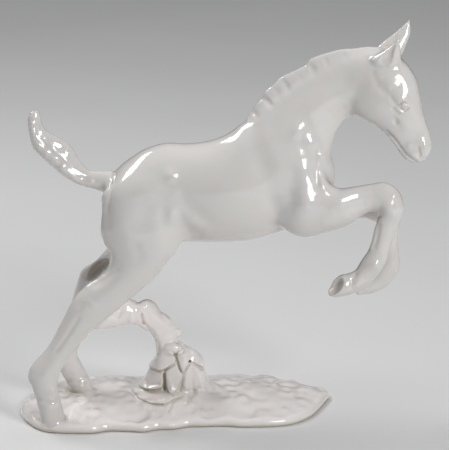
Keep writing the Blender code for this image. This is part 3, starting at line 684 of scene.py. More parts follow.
# forelegs
stroke([(340, 202)], 14, 1.6, NEAR_LEG)
stroke([(387.5, 205)], 8, 0.6, NEAR_LEG)
stroke([(388, 211)], 9, 0.9, NEAR_LEG)
stroke([(345, 194), (360, 192), (374, 190)], 5, 0.3, NEAR_LEG)
stroke([(332, 214), (350, 208), (368, 202)], 4, -0.45, NEAR_LEG)
stroke([(318, 224), (336, 222), (352, 214)], 5, 0.5, NEAR_LEG)
stroke([(393, 191), (398, 201)], 4.5, 0.6, NEAR_LEG)                                # knee
stroke([(382, 206), (382, 213)], 4, -0.4, NEAR_LEG)
stroke([(390, 215), (396, 217)], 4, 0.4, NEAR_LEG)
stroke([(380, 222), (378, 236), (374, 250)], 2.4, -0.5, NEAR_LEG)                   # tendon furrow
stroke([(375, 225), (374, 238), (370, 252)], 2.0, 0.4, NEAR_LEG)
stroke([(375, 266)], 5, 1.0, NEAR_LEG)                                              # fetlock
stroke([(358, 272), (352, 280), (351, 291)], 1.8, -0.5, NEAR_LEG)                   # coronet
stroke([(362, 272), (358, 281), (357, 290)], 2.4, 0.5, NEAR_LEG)
stroke([(392, 262)], 5, 0.5, FAR_LEG)
# hind legs below the thigh
stroke([(120, 268), (106, 280), (92, 288)], 3.0, -0.6, NEAR_LEG)                    # above the hock
stroke([(104, 272), (94, 281), (84, 288)], 3.0, 0.6, NEAR_LEG)
stroke([(96, 300), (88, 308)], 6, 0.7, NEAR_LEG)                                    # hock joint
stroke([(84, 300), (78, 310)], 3, -0.4, NEAR_LEG)
stroke([(80, 316), (66, 338), (54, 354)], 2.6, -0.5, NEAR_LEG)                      # tendon furrow
stroke([(44, 372), (46, 380)], 6, 0.5, NEAR_LEG)                                    # fetlock
stroke([(36, 399), (47, 401), (60, 398)], 2.0, -0.4, NEAR_LEG)                      # coronet
stroke([(36, 404), (48, 406), (61, 402)], 2.6, 0.4, NEAR_LEG)
stroke([(106, 258), (95, 268), (88, 277), (84, 286)], 6, -1.5, FAR_LEG)              # hollow inside the far hock
stroke([(66, 380), (76, 381), (88, 374)], 1.8, -0.4, FAR_LEG)
stroke([(67, 384), (78, 385), (90, 378)], 2.4, 0.35, FAR_LEG)
stroke([(64, 354)], 5, 0.4, FAR_LEG)

# the head
FACE_STROKES = []


def face(points, width, height, depth=FACE, both=True):
    FACE_STROKES.append((np.array(points, float), width, height, depth, both, True))


face([(373, 68), (374, 76), (378, 86), (384, 91), (390, 95.5)], 4.0, -0.45)          # behind the cheek and temple
face([(386.5, 75), (389.5, 84), (393, 92)], 5.5, 0.85)                                # temple
face([(386, 80), (390, 92)], 12, 0.45)
face([(400.5, 97)], 8, 0.45)
face([(390, 70), (397, 79), (401, 90)], 7, 0.5)                                      # brow
face([(398.5, 78), (401.5, 88)], 4, -0.25)
face([(389.5, 95.5), (394.2, 102.2), (399.2, 106.6)], 2.5, -0.64)                       # crease behind the eye
face([(396.5, 100), (402, 98.6), (408.4, 102.3)], 2.4, 0.45)                           # upper lid
face([(403.6, 105.9)], 2.8, 0.75)                                                    # eyeball
face([(398.4, 103.8), (402.4, 102.4), (407.4, 103.6)], 1.3, -0.5)                     # under the lid
face([(399.0, 108.2), (404, 110.8), (409.4, 107)], 1.6, -0.5)                        # lid line
face([(396, 107.6), (399.8, 111.2), (404.8, 113)], 2.2, 0.15)                         # lower lid
face([(391.7, 107.2), (396.7, 112.8), (401, 114.6)], 1.9, -0.5)
face([(394, 117), (395.8, 121), (398.2, 125.5)], 2.6, -0.65)                         # hollow below the eye
face([(401, 117), (405, 125), (409, 135)], 5.5, 0.4)                                 # cheek bone
face([(384, 104), (378, 112), (380, 120)], 9, 0.4)                                   # cheek
face([(385.4, 129.8), (394, 138.2), (401.2, 148), (406.2, 154.6), (411.5, 159), (417.5, 162.4)], 1.4, -0.6, FACE, False)   # mouth
face([(387, 134.5), (393.5, 142.5), (399.6, 151.5), (404.6, 157.6), (410, 161.2)], 1.7, 0.35, FACE, False)                 # lower jaw
face([(409, 146.3)], 3.2, 0.5)                                                       # corner of the mouth
face([(417.5, 146), (419, 151.5), (420.5, 158)], 2.0, -0.8)                          # nostril
face([(423, 141), (425.5, 147.5), (425.5, 153)], 3.0, 0.5)                           # nose
face([(410.5, 152.5), (415.5, 157.5)], 2.2, 0.4)                                     # lips
face([(373, 59.2)], 1.9, 0.5, (-40, -1), False)                                      # foot of the near ear's rim

# tail, mane and branch
LOCKS = []


def lock(points, width, height, depth=(-40, 2), both=True):
    LOCKS.append((np.array(points, float), width, height, depth, both, True))


lock([(98, 182), (80, 177), (64, 164), (50, 151), (41, 140), (36, 127), (35, 117)], 3.0, -0.35)
lock([(90, 173), (78, 168), (68, 157), (55, 145), (45, 136)], 2.8, -0.2)
for u, v in ((31.5, 116), (33, 124), (33.5, 132), (38.5, 144.5), (47, 152), (55, 159), (63, 168), (75, 176.5), (91, 181)):
    lock([(u, v)], 3.3, 0.5)
for u, v, r, up in ((37, 118, 3.2, 0.4), (41, 131, 3.4, -0.5), (52, 140, 4.0, 0.5), (60, 148, 3.2, -0.5), (67, 152, 3.6, 0.5), (57, 166, 3.0, -0.5), (74, 163, 3.4, -0.4), (70, 174, 3.0, 0.4),
                    (83, 172, 3.6, 0.4), (84, 180, 3.0, -0.5), (97, 176, 3.6, -0.35), (46, 145, 2.8, -0.4)):
    lock([(u, v)], 1.3 * r, 0.6 * up)
for u0, v0, u1, v1, deep in (
    (251.5, 109.5, 260, 118, 0.2), (263.4, 96, 274, 108, 0.4), (272.5, 86, 281, 98, 0.12), (281, 77.5, 290, 91, 0.25),
    (296, 71, 303, 83, 0.1), (308.8, 61.5, 315, 75, 0.22), (323, 55, 328, 66, 0.15), (342, 50, 345, 59, 0.1),
):
    lock([(u0, v0), ((u0 + u1) / 2 + 0.5, (v0 + v1) / 2 - 0.5), (u1, v1)], 2.8, -deep, (-9, 8), True)
KNOTS = []


def knot(points, width, height, depth=(-14, 24)):
    KNOTS.append((np.array(points, float), width, height, depth, False, True))


knot([(140.8, 312.5), (141.5, 318), (143.2, 325)], 1.7, -1.3)                           # crease at the crook
knot([(128, 314), (135.5, 316)], 5, 0.9)
knot([(141, 308.5)], 2.6, 0.8)
knot([(121.5, 301), (120, 310), (117.5, 320)], 2.6, -0.9)
knot([(102, 321), (108, 316), (112, 312)], 4.0, 0.8)
knot([(142.5, 321.5), (148, 327.5), (154, 333), (157.5, 341)], 1.5, -0.8)            # lip along the underside
knot([(158.4, 341), (158.8, 348), (159, 356)], 1.3, -0.6)
knot([(157, 333)], 2.6, 0.5)
knot([(148, 307), (157, 317), (168, 329)], 4.5, 0.8)
knot([(160, 313), (166, 321)], 2.0, -0.4)
knot([(163, 338), (171, 333), (176, 331)], 2.2, -0.6)
knot([(169, 328.5)], 3, 0.5)
for u, v, r, up in ((147.5, 303, 4.0, 0.8), (138.5, 302.5, 2.6, -0.8), (162, 311.5, 2.6, -0.7), (169, 319.5, 3.6, 0.7), (127, 303, 4.0, 0.6), (112, 305, 4.0, 0.6), (150, 331, 3.0, -0.6), (132, 322, 3.2, 0.6)):
    knot([(u, v)], r, up)
AROUND = (-6, 26)
knot([(162, 350), (164.5, 344.8), (170.5, 342), (178, 342.6), (184, 346.8)], 1.4, -0.4, AROUND)                # round the bud
knot([(164.3, 372.5), (164.5, 381), (164.8, 391)], 1.3, -2.0, AROUND)                                          # slot beside the stub
knot([(150, 368.3), (155, 370.6), (161.5, 372), (168, 368.8), (175.5, 364)], 1.2, -0.7, AROUND)                # under the front leaf
knot([(175.8, 355), (176.8, 359.5), (178.6, 365), (181.6, 372.5)], 1.4, -0.8, AROUND)
knot([(184.5, 371.5), (187.5, 367), (190.3, 363.3)], 1.1, -0.6, AROUND)
knot([(189, 348), (190.5, 355), (190, 361)], 2.6, -0.6, AROUND)                                                # fold of the curled leaf
knot([(182, 350), (184, 358), (183, 366)], 3.0, 0.5, AROUND)
knot([(197, 353), (199, 359)], 3.0, 0.5, AROUND)
knot([(191, 364.2), (197, 366), (203.5, 369.5)], 1.2, -0.6, AROUND)
knot([(146, 388), (153, 387.6), (160, 386), (163, 381)], 2.2, 0.9, AROUND)                                     # rolled rim of the rock
knot([(143, 391), (152, 391.8), (160, 390.5), (166, 393)], 1.6, -0.25, AROUND)
knot([(183.5, 376), (181, 385), (179, 393)], 1.6, -0.6, AROUND)                                                # roots
knot([(187.5, 369), (186, 380), (185, 392)], 2.8, 0.8, AROUND)
knot([(193, 367), (192, 380), (193, 392)], 2.0, -0.5, AROUND)
knot([(198.5, 369), (201, 381), (205, 392)], 3.0, 0.8, AROUND)
knot([(205, 372), (211, 382), (218, 390)], 2.4, -0.5, AROUND)
knot([(141, 374), (146, 381), (149, 386)], 2.6, -0.5, AROUND)
knot([(168, 376), (171, 384), (172, 391)], 2.2, 0.4, AROUND)
GROUND = (-60, 60)
knot([(183.3, 395.6), (177, 399), (172, 403.3), (168.5, 411)], 1.6, -0.7, GROUND)                              # creases in the ground
knot([(130, 389.4), (138, 399), (150, 404.6), (164.4, 405.6), (174.4, 400)], 1.6, -0.5, GROUND)
for u, v in ((175.6, 396.7), (171, 413), (212, 410.5), (197.8, 390.6), (33, 416), (44, 424), (80, 408), (285, 409)):
    knot([(u, v)], 2.4, 0.6, GROUND)

CUP_RIGHT = Loft([(390, 67, 379, 66, 1.6, -12.3), (393, 62, 377, 61.5, 2.3, -13.4), (394, 56.5, 379.8, 56.5, 2.4, -14.0), (394.6, 51, 386.4, 51.2, 1.8, -13.8), (395.6, 46, 392, 46.3, 1.1, -13.6)], round0=2.5, round1=0.6)
CUP_LEFT = Loft([(398.5, 49, 381.5, 48, 1.8, 0.5), (399, 41.5, 387.5, 41.5, 1.7, 2.2), (400, 35, 394.8, 35.4, 1.2, 3.7), (402.5, 30, 400.4, 30.2, 0.8, 5.0)], round0=1.5, round1=0.6)
POCKET = Ball(at(97, 272.2, 8.5), (3.5, 7.5, 9.5), turn=42)
SOLE_RIGHT = Ball(at(335.6, 286.3, -20.5), (3.1, 4.8, 6.0), turn=36)


def castings(P):
    """Distance to each casting, before they are joined."""
    d = {}
    d["torso"] = barrel(P)
    d["mane"] = mane(P)
    d["head"] = head(P)
    d["ear_right"] = smax(ear_right(P), -CUP_RIGHT(P), 0.8)
    d["ear_left"] = smax(ear_left(P), -CUP_LEFT(P), 0.8)
    d["tail"] = tail(P)
    d["hind_right"], d["hind_left"] = hind_right(P), smax(hind_left(P), -POCKET(P), 1.6)
    d["fore_right"] = smax(fore_right(P), -SOLE_RIGHT(P), 0.8)
    d["fore_left"] = fore_left(P)
    d["base"] = base(P)
    d["stump"] = smin(stump(P), bud(P), 0.8)
    d["branch"] = smin(branch(P), twig(P), 0.7)
    return d


def joined(d, P):
    foal = d["torso"]
    foal = smin(foal, d["mane"], 3.0)
    for name, k in (("hind_right", 8.0), ("hind_left", 8.0), ("fore_right", 6.0), ("fore_left", 6.0), ("head", 6.0), ("tail", 4.6), ("ear_right", 3.0), ("ear_left", 2.0)):
        foal = smin(foal, d[name], k)
    close = np.abs(foal) < 3.2
    if close.any():
        Q = P[close]
        foal[close] -= laid(Q, STROKES) + laid(Q, FACE_STROKES, face_middle) + laid(Q, LOCKS)
    ground = smin(smin(d["base"], d["stump"], 5.0), d["branch"], 2.4)
    close = np.abs(ground) < 3.6
    if close.any():
        ground[close] -= laid(P[close], KNOTS) + patched(P[close])
        ground[close] = smax(ground[close], -leaf_eye(P[close]), 0.4)
    return foal, ground


def solid(P):
    foal, ground = joined(castings(P), P)
    d = smin(foal, ground, 1.4)
    low = P[:, 2] < 4.0
    if low.any():                 # the flat foot and the recess inside it
        Q = P[low]
        recess = np.maximum(rim_distance(Q) + 7.0, Q[:, 2] - 2.0)
        d[low] = np.maximum(smax(d[low], -recess, 0.6), -Q[:, 2])
    return d


# ---------------------------------------------------------------- skinning
def chunked(f, P, size=200000):
    return np.concatenate([f(P[i : i + size]) for i in range(0, len(P), size)]) if len(P) else np.zeros(0)


def spread(cells, times, shape):
    """Nodes of the finer grid that belong to marked cells."""
    m = cells
    for axis in range(3):
        m = np.repeat(m, times, axis)
    m = np.pad(m, [(0, 1)] * 3)
    for axis in range(3):
        rolled = np.zeros_like(m)
        rolled[tuple(slice(1, None) if a == axis else slice(None) for a in range(3))] = m[tuple(slice(None, -1) if a == axis else slice(None) for a in range(3))]
        m = m | rolled
    assert m.shape == shape
    return m


def corners(node, work):
    out = None
    for i in (slice(None, -1), slice(1, None)):
        for j in (slice(None, -1), slice(1, None)):
            for k in (slice(None, -1), slice(1, None)):
                out = node[i, j, k].copy() if out is None else work(out, node[i, j, k])
    return out


def skin(lo, hi, h):
    """Surface net of the solid inside a box: points, normals and triangles."""
    lo = np.array(lo, float)
    n1 = np.ceil((np.array(hi) - lo) / (6 * h)).astype(int)
    place = lambda idx, step: lo + idx * (step * h)
    grid = np.stack(np.meshgrid(*[np.arange(n + 1) for n in n1], indexing="ij"), -1).reshape(-1, 3)
    g = chunked(solid, place(grid, 6)).reshape(n1 + 1)
    for step, times in ((6, 3), (2, 2)):
        marked = corners(np.abs(g), np.minimum) < step * h * 1.35
        shape = tuple((np.array(g.shape) - 1) * times + 1)
        nodes = spread(marked, times, shape)
        sign = np.where(g < 0, -1.0, 1.0)
        for axis in range(3):
            body = np.repeat(np.take(sign, range(sign.shape[axis] - 1), axis), times, axis)
            sign = np.concatenate([body, np.take(sign, [-1], axis)], axis)
        fine = sign * 50.0
        idx = np.argwhere(nodes)
        fine[nodes] = chunked(solid, place(idx, step // times))
        g = fine
    inside = g < 0
    count = corners(inside.astype(np.int8), np.add)
    active = (count > 0) & (count < 8)
    cells = np.argwhere(active)
    number = np.full(active.shape, -1, np.int64)
    number[active] = np.arange(len(cells))
    total, hits = np.zeros((len(cells), 3)), np.zeros(len(cells))
    for axis in range(3):
        o1, o2 = [a for a in range(3) if a != axis]
        for p in (0, 1):
            for q in (0, 1):
                a = np.zeros(3, int)
                a[o1], a[o2] = p, q
                b = a.copy()
                b[axis] = 1
                ga, gb = g[tuple((cells + a).T)], g[tuple((cells + b).T)]
                m = (ga < 0) != (gb < 0)
                t = np.where(m, ga / np.where(m, ga - gb, 1), 0)
                pos = cells + a + t[:, None] * (b - a)
                total[m] += pos[m]
                hits[m] += 1
    V = lo + total / hits[:, None] * h
    quads = []
    for axis in range(3):
        o1, o2 = [(1, 2), (2, 0), (0, 1)][axis]
        first = [slice(None)] * 3
        second = [slice(None)] * 3
        first[axis], second[axis] = slice(None, -1), slice(1, None)
        change = inside[tuple(first)] != inside[tuple(second)]
        e = np.argwhere(change)
        e = e[(e[:, o1] > 0) & (e[:, o2] > 0) & (e[:, o1] < active.shape[o1]) & (e[:, o2] < active.shape[o2])]
        out = inside[tuple(e.T)]
        ring = []
        for p, q in ((0, 0), (-1, 0), (-1, -1), (0, -1)):
            c = e.copy()
            c[:, o1] += p
            c[:, o2] += q
            ring.append(number[tuple(c.T)])
        ring = np.stack(ring, 1)
        ring[~out] = ring[~out][:, ::-1]
        quads.append(ring)
    Q = np.concatenate(quads)
    Q = Q[(Q >= 0).all(1)]
    e = 0.35 * h
    grad = np.zeros_like(V)
    for corner in ((1, 1, 1), (1, -1, -1), (-1, 1, -1), (-1, -1, 1)):
        corner = np.array(corner, float)
        grad += corner * (chunked(solid, V + corner * e) / (4 * e))[:, None]
    norm2 = np.maximum((grad**2).sum(1), 0.05)
    for _ in range(2):
        step = chunked(solid, V) / norm2
        V = V - grad * np.clip(step, -0.6 * h, 0.6 * h)[:, None]
    N = grad / np.sqrt((grad**2).sum(1) + 1e-12)[:, None]
    d1 = ((V[Q[:, 0]] - V[Q[:, 2]]) ** 2).sum(1)
    d2 = ((V[Q[:, 1]] - V[Q[:, 3]]) ** 2).sum(1)
    T = np.concatenate([Q[d1 <= d2][:, [0, 1, 2]], Q[d1 <= d2][:, [0, 2, 3]], Q[d1 > d2][:, [0, 1, 3]], Q[d1 > d2][:, [1, 2, 3]]])
    return V, N, T


# ----------------------------------------------- dividing the skin into castings
class Skin:
    """Triangles with, for each point, its place, normal and distances to the castings."""

    def __init__(self, X, T, names):
        self.X, self.T, self.names = X, T, names

    def d(self, *names):
        return np.minimum.reduce([self.X[:, 6 + self.names.index(n)] for n in names])

    def cut(self, s):
        """(part where s <= 0, part where s > 0), both closed with a cap at the cut."""
        X, T = self.X, self.T
        s = np.where(np.abs(s) < 1e-6, 1e-6, s)
        side = s > 0
        n = side[T].sum(1)
        keep = {False: [T[n == 0]], True: [T[n == 3]]}
        mixed = T[(n == 1) | (n == 2)]
        ms = side[mixed]
        lone_side = ms.sum(1) == 1
        lone = np.argmax(ms == lone_side[:, None], axis=1)
        r = np.arange(len(mixed))
        a, b, c = mixed[r, lone], mixed[r, (lone + 1) % 3], mixed[r, (lone + 2) % 3]
        pairs = np.sort(np.concatenate([np.stack([a, b], 1), np.stack([a, c], 1)]), axis=1)
        uniq, inv = np.unique(pairs, axis=0, return_inverse=True)
        inv = inv.reshape(-1) + len(X)
        t = s[uniq[:, 0]] / (s[uniq[:, 0]] - s[uniq[:, 1]])
        new = X[uniq[:, 0]] + t[:, None] * (X[uniq[:, 1]] - X[uniq[:, 0]])
        new[:, 3:6] /= np.linalg.norm(new[:, 3:6], axis=1)[:, None] + 1e-12
        X = np.concatenate([X, new])
        ab, ac = inv[: len(mixed)], inv[len(mixed) :]
        tip = np.stack([a, ab, ac], 1)
        rest = np.concatenate([np.stack([ab, b, c], 1), np.stack([ab, c, ac], 1)])
        rest_side = np.concatenate([lone_side, lone_side])
        edges = {False: [], True: []}
        for k in (False, True):
            keep[k] += [tip[lone_side == k], rest[rest_side != k]]
            edges[k] = np.concatenate([np.stack([ab, ac], 1)[lone_side == k], np.stack([ac, ab], 1)[lone_side != k]])
        return [Skin(X, np.concatenate(keep[k]), self.names).capped(edges[k]).packed() for k in (False, True)]

    def capped(self, edges):
        if not len(edges):
            return self
        parent = {}

        def find(i):
            while parent[i] != i:
                parent[i] = parent[parent[i]]
                i = parent[i]
            return i

        for i, j in edges.tolist():
            parent.setdefault(i, i)
            parent.setdefault(j, j)
            parent[find(i)] = find(j)
        root = np.array([find(i) for i in edges[:, 0].tolist()])
        X, T = [self.X], [self.T]
        at_end = len(self.X)
        for r in np.unique(root):
            loop = edges[root == r]
            ids, inv = np.unique(loop, return_inverse=True)
            inv = inv.reshape(-1, 2)
            pts = self.X[ids].copy()
            centre = pts.mean(0)
            reach = np.linalg.norm(pts[:, :3] - centre[:3], axis=1).mean()
            centre[:3] -= 0.8 * reach * centre[3:6]
            centre[2] = max(centre[2], 0.5)
            p, q = pts[inv[:, 0], :3] - centre[:3], pts[inv[:, 1], :3] - centre[:3]
            normal = np.cross(q, p).sum(0)
            normal = normal / (np.linalg.norm(normal) + 1e-12)
            rows = np.concatenate([pts, centre[None]])
            rows[:, 3:6] = normal
            X.append(rows)
            T.append(np.stack([inv[:, 1], inv[:, 0], np.full(len(inv), len(ids))], 1) + at_end)
            at_end += len(rows)
        return Skin(np.concatenate(X), np.concatenate(T), self.names)

    def packed(self):
        ids, inv = np.unique(self.T, return_inverse=True)
        return Skin(self.X[ids], inv.reshape(-1, 3), self.names)

    def inside(self, mask):
        """The triangles whose points are all marked."""
        return Skin(self.X, self.T[mask[self.T].all(1)], self.names).packed()


NAMES = ["torso", "mane", "head", "ear_right", "ear_left", "tail", "hind_right", "hind_left", "fore_right", "fore_left",
         "base", "stump", "branch", "foal", "ground"]
FOAL = NAMES[:10]


def skinned(lo, hi, h):
    V, N, T = skin(lo, hi, h)
    columns = []
    for i in range(0, len(V), 200000):
        P = V[i : i + 200000]
        d = castings(P)
        foal, ground = joined(d, P)
        columns.append(np.stack([d[n] for n in NAMES[:-2]] + [foal, ground], 1))
    return Skin(np.concatenate([V, N, np.concatenate(columns)], 1), T, NAMES)


def beyond(loft_key, X):
    """Distance past the plane of a section, given by its row and the row after it."""
    rows, i, mirror = loft_key
    p, q = at(*rows[i][:2], rows[i][5]), at(*rows[i][2:4], rows[i][5])
    nxt = (at(*rows[i + 1][:2], rows[i + 1][5]) + at(*rows[i + 1][2:4], rows[i + 1][5])) / 2
    h = p - q
    normal = np.array([-h[2], 0, h[0]])
    normal /= np.linalg.norm(normal)
    if normal @ (nxt - (p + q) / 2) < 0:
        normal = -normal
    return (X[:, :3] - (p + q) / 2) @ normal


def lapped(s, past, depth=0.6, sink=0.2):
    """Cuts the skin a little past a joint, sinking it there under the finer skin of its neighbour."""
    s.X[:, :3] -= s.X[:, 3:6] * (np.clip(past / depth, 0, 1) * sink)[:, None]
    return s.cut(past - depth)[0]


pieces = {}
whole = skinned((-124, -52, -3), (121, 50, 232), CELL)
rest, ground = whole.cut(whole.d("foal") - whole.d("ground"))
ground = lapped(ground, ground.d("base", "branch") - ground.d("stump"))
pieces["base"], pieces["branch"] = ground.cut(ground.d("base") - ground.d("branch"))
heap = skinned((-62, -22, 3), (10, 28, 52), CELL_FINE)
_, heap = heap.cut(heap.d("base", "branch") - heap.d("stump"))
for name in ("leaf_front", "leaf_curled", "bark_stub", "rock_left", "rock_right"):
    u, v = seen(heap.X[:, :3])
    heap, pieces[name] = heap.cut(np.minimum(within(u, v, PATCHES[name][0]) * UNIT, HEAP[1] + SAG - heap.X[:, 1]))
pieces["stump"] = heap
rest, pieces["tail"] = rest.cut(rest.d(*[n for n in FOAL if n != "tail"]) - rest.d("tail"))
BELOW_HEAD = [n for n in FOAL if n not in ("head", "ear_right", "ear_left")]
rest = lapped(rest, rest.d(*BELOW_HEAD) - rest.d("head", "ear_right", "ear_left"))
rest, hind = rest.cut(np.where(rest.X[:, 0] < 0, beyond((HIND_TOP, 0, False), rest.X), -50.0))
pieces["hind_right"], pieces["hind_left"] = hind.cut(hind.X[:, 1] - SAG)
rest, fore = rest.cut(np.where((rest.X[:, 0] > 30) & (rest.X[:, 2] < 143), beyond((FORE_RIGHT, 0, False), rest.X), -50.0))
pieces["fore_right"], pieces["fore_left"] = fore.cut(fore.X[:, 1] - SAG)
pieces["torso"], pieces["neck"] = rest.cut(beyond((BARREL, NECK_FROM, False), rest.X))
fine = skinned((60, -45, 143), (121, 8, 232), CELL_FINE)
_, fine = fine.cut(fine.d(*BELOW_HEAD) - fine.d("head", "ear_right", "ear_left"))
fine, pieces["ear_right"] = fine.cut(fine.d("head", "ear_left", "torso", "mane") - fine.d("ear_right"))
pieces["head"], pieces["ear_left"] = fine.cut(fine.d("head", "torso", "mane") - fine.d("ear_left"))


# ------------------------------------------------------------------- materials
def shader(name, build):
    m = bpy.data.materials.new(name)
    m.use_nodes = True
    t = m.node_tree
    build(t, t.nodes["Principled BSDF"])
    return m


def link(t, a, b):
    t.links.new(a, b)


def node(t, kind, **values):
    n = t.nodes.new(kind)
    for k, v in values.items():
        if k in n.inputs:
            n.inputs[k].default_value = v
        else:
            setattr(n, k, v)
    return n


def ramp(t, source, stops):
    r = t.nodes.new("ShaderNodeValToRGB")
    while len(r.color_ramp.elements) < len(stops):
        r.color_ramp.elements.new(0.5)
    for e, (pos, col) in zip(r.color_ramp.elements, stops):
        e.position, e.color = pos, (*col, 1)
    link(t, source, r.inputs["Fac"])
    return r


def porcelain(ground):
    """Clear glaze on white porcelain, slightly uneven in tone; its colour carries painted shade, darker and creamier in
    hollows and fine creases.
    """

    def build(t, p):
        where = node(t, "ShaderNodeTexCoord")
        broad = node(t, "ShaderNodeTexNoise", Scale=16.0, Detail=3.0, Roughness=0.5)
        small = node(t, "ShaderNodeTexNoise", Scale=420.0, Detail=2.0, Roughness=0.5)
        link(t, where.outputs["Object"], broad.inputs["Vector"])
        link(t, where.outputs["Object"], small.inputs["Vector"])
        # painted shade: the base colour darkens towards cream-brown wherever ambient occlusion finds hollows within 16
        # mm
        shade_ao = node(t, "ShaderNodeAmbientOcclusion", samples=8, Distance=0.016)
        if ground:
            deep = ramp(t, shade_ao.outputs["AO"], [(0.2, (0.70, 0.65, 0.575)), (0.6, (0.83, 0.795, 0.755)), (0.92, (0.875, 0.835, 0.82))])
        else:
            deep = ramp(t, shade_ao.outputs["AO"], [(0.25, (0.53, 0.48, 0.41)), (0.62, (0.66, 0.63, 0.595)), (0.92, (0.725, 0.703, 0.687))])
        tone = ramp(t, broad.outputs["Fac"], [(0.35, (0.965, 0.962, 0.955)), (0.65, (1.0, 1.0, 1.0))])
        mix = node(t, "ShaderNodeMix", data_type="RGBA", blend_type="MULTIPLY")
        mix.inputs["Factor"].default_value = 1.0
        link(t, deep.outputs["Color"], mix.inputs["A"])
        link(t, tone.outputs["Color"], mix.inputs["B"])
        # painted shade: narrow creases within about 3 mm (eye, mouth, mane, slots) are darkened in the colour
        crease = node(t, "ShaderNodeAmbientOcclusion", samples=8, Distance=0.0032)
        crease_shade = ramp(t, crease.outputs["AO"], [(0.6, (0.88, 0.86, 0.825) if ground else (0.72, 0.675, 0.61)), (0.95, (1.0, 1.0, 1.0))])
        crease_shaded = node(t, "ShaderNodeMix", data_type="RGBA", blend_type="MULTIPLY")
        crease_shaded.inputs["Factor"].default_value = 1.0
        link(t, mix.outputs["Result"], crease_shaded.inputs["A"])
        link(t, crease_shade.outputs["Color"], crease_shaded.inputs["B"])
        link(t, crease_shaded.outputs["Result"], p.inputs["Base Color"])
        gloss = node(t, "ShaderNodeMapRange")
        gloss.inputs["To Min"].default_value = 0.10 if not ground else 0.14
        gloss.inputs["To Max"].default_value = 0.17 if not ground else 0.24
        link(t, broad.outputs["Fac"], gloss.inputs["Value"])
        link(t, gloss.outputs["Result"], p.inputs["Roughness"])
        bump = node(t, "ShaderNodeBump", Strength=0.05 if not ground else 0.12, Distance=0.0006)
        link(t, small.outputs["Fac"], bump.inputs["Height"])
        link(t, bump.outputs["Normal"], p.inputs["Normal"])
        p.inputs["IOR"].default_value = 1.5
        p.inputs["Subsurface Weight"].default_value = 0.12
        p.inputs["Subsurface Radius"].default_value = (0.004, 0.0034, 0.0026)
        p.inputs["Subsurface Scale"].default_value = 0.4
        p.inputs["Coat Weight"].default_value = 0.6
        p.inputs["Coat Roughness"].default_value = 0.05

    return shader("ground_porcelain" if ground else "foal_porcelain", build)


def bisque():
    def build(t, p):
        where = node(t, "ShaderNodeTexCoord")
        grain = node(t, "ShaderNodeTexNoise", Scale=900.0, Detail=3.0)
        link(t, where.outputs["Object"], grain.inputs["Vector"])
        tone = ramp(t, grain.outputs["Fac"], [(0.3, (0.70, 0.66, 0.60)), (0.7, (0.80, 0.77, 0.71))])
        link(t, tone.outputs["Color"], p.inputs["Base Color"])
        bump = node(t, "ShaderNodeBump", Strength=0.3, Distance=0.0004)
        link(t, grain.outputs["Fac"], bump.inputs["Height"])
        link(t, bump.outputs["Normal"], p.inputs["Normal"])
        p.inputs["Roughness"].default_value = 0.8

    return shader("bisque_slip", build)


foal_glaze, ground_glaze, slip = porcelain(False), porcelain(True), bisque()

# ---------------------------------------------------------------- the pieces
SHOWN = {
    "torso": ("torso_shell", "foal_glaze"), "neck": ("neck_shell", "foal_glaze"), "head": ("head_shell", "foal_glaze"),
    "ear_right": ("ear_right", "foal_glaze"), "ear_left": ("ear_left", "foal_glaze"), "tail": ("tail", "foal_glaze"),
    "hind_right": ("hindleg_right", "foal_glaze"), "hind_left": ("hindleg_left", "foal_glaze"),
    "fore_right": ("foreleg_right", "foal_glaze"), "fore_left": ("foreleg_left", "foal_glaze"),
    "base": ("base_slab", "ground_glaze"), "stump": ("stump", "ground_glaze"), "branch": ("branch_prop", "ground_glaze"),
    "rock_left": ("rock_left", "ground_glaze"), "rock_right": ("rock_right", "ground_glaze"), "bark_stub": ("bark_stub", "ground_glaze"),
    "leaf_front": ("leaf_front", "ground_glaze"), "leaf_curled": ("leaf_curled", "ground_glaze"),
}
for key, (cad_node, slot_name) in SHOWN.items():
    s = pieces[key]
    mesh = bpy.data.meshes.new(f"{cad_node}_skin")
    mesh.vertices.add(len(s.X))
    mesh.vertices.foreach_set("co", (s.X[:, :3] * 0.001).astype(np.float32).ravel())
    mesh.loops.add(len(s.T) * 3)
    mesh.loops.foreach_set("vertex_index", s.T.astype(np.int32).ravel())
    mesh.polygons.add(len(s.T))
    mesh.polygons.foreach_set("loop_start", np.arange(0, len(s.T) * 3, 3, dtype=np.int32))
    mesh.update(calc_edges=True)
    mesh.validate()
    mesh.shade_smooth()
    if len(mesh.vertices) == len(s.X):
        mesh.normals_split_custom_set_from_vertices(s.X[:, 3:6].tolist())
    obj = bpy.data.objects.new(f"{cad_node}_skin", mesh)
    bpy.context.scene.collection.objects.link(obj)
    mesh.materials.append(foal_glaze if slot_name == "foal_glaze" else ground_glaze)
    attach(obj, "root")
    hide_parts(cad_node)
for name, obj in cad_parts.items():
    if name.startswith("slip_"):
        obj.data.materials.clear()
        obj.data.materials.append(slip)

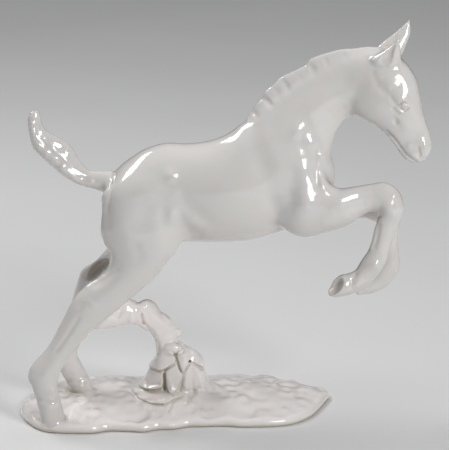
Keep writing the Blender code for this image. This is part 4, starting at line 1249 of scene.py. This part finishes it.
# ------------------------------------------------------------- floor and light
def floor_material():
    def build(t, p):
        where = node(t, "ShaderNodeTexCoord")
        grain = node(t, "ShaderNodeTexNoise", Scale=5.0, Detail=2.0)
        link(t, where.outputs["Object"], grain.inputs["Vector"])
        tone = ramp(t, grain.outputs["Fac"], [(0.3, (0.69, 0.69, 0.69)), (0.7, (0.71, 0.71, 0.71))])
        link(t, tone.outputs["Color"], p.inputs["Base Color"])
        p.inputs["Roughness"].default_value = 0.6

    return shader("floor_paper", build)


mesh = bpy.data.meshes.new("floor")
mesh.from_pydata([(-9, -9, 0), (9, -9, 0), (9, 9, 0), (-9, 9, 0)], [], [(0, 1, 2, 3)])
floor = bpy.data.objects.new("floor", mesh)
bpy.context.scene.collection.objects.link(floor)
mesh.materials.append(floor_material())


def area(name, where, target, size, power, colour=(1, 1, 1)):
    data = bpy.data.lights.new(name, "AREA")
    data.shape = "RECTANGLE"
    data.size, data.size_y = size
    data.energy = power
    data.color = colour
    obj = bpy.data.objects.new(name, data)
    obj.location = where
    obj.rotation_euler = (Vector(target) - Vector(where)).to_track_quat("-Z", "Y").to_euler()
    bpy.context.scene.collection.objects.link(obj)
    return obj


area("key", (0.70, -0.95, 0.70), (0.0, 0.0, 0.12), (0.32, 0.55), 9.2)
area("overhead", (-0.6, 0.5, 4.0), (-0.6, 0.5, 0.0), (5.0, 5.0), 95.0).visible_glossy = False
area("top_strip", (-0.68, 0.35, 1.0), (0.0, 0.0, 0.15), (0.66, 0.23), 6.2)
world = bpy.data.worlds.new("studio")
world.use_nodes = True
world.node_tree.nodes["Background"].inputs["Color"].default_value = (0.8, 0.82, 0.85, 1)
world.node_tree.nodes["Background"].inputs["Strength"].default_value = 0.06
scene = bpy.context.scene
scene.world = world
scene.view_settings.view_transform = "Standard"
scene.view_settings.look = "None"

# ----------------------------------------------------------------- the camera
camera = bpy.data.objects.new("camera", bpy.data.cameras.new("camera"))
scene.collection.objects.link(camera)
camera.location = EYE * 0.001
camera.rotation_euler = Vector(FORWARD).to_track_quat("-Z", "Y").to_euler()
camera.data.sensor_width = 36.0
camera.data.lens = 36.0 * (DISTANCE / UNIT) / 450.0
camera.data.clip_start, camera.data.clip_end = 0.05, 20.0
scene.camera = camera

bpy.context.view_layer.update()
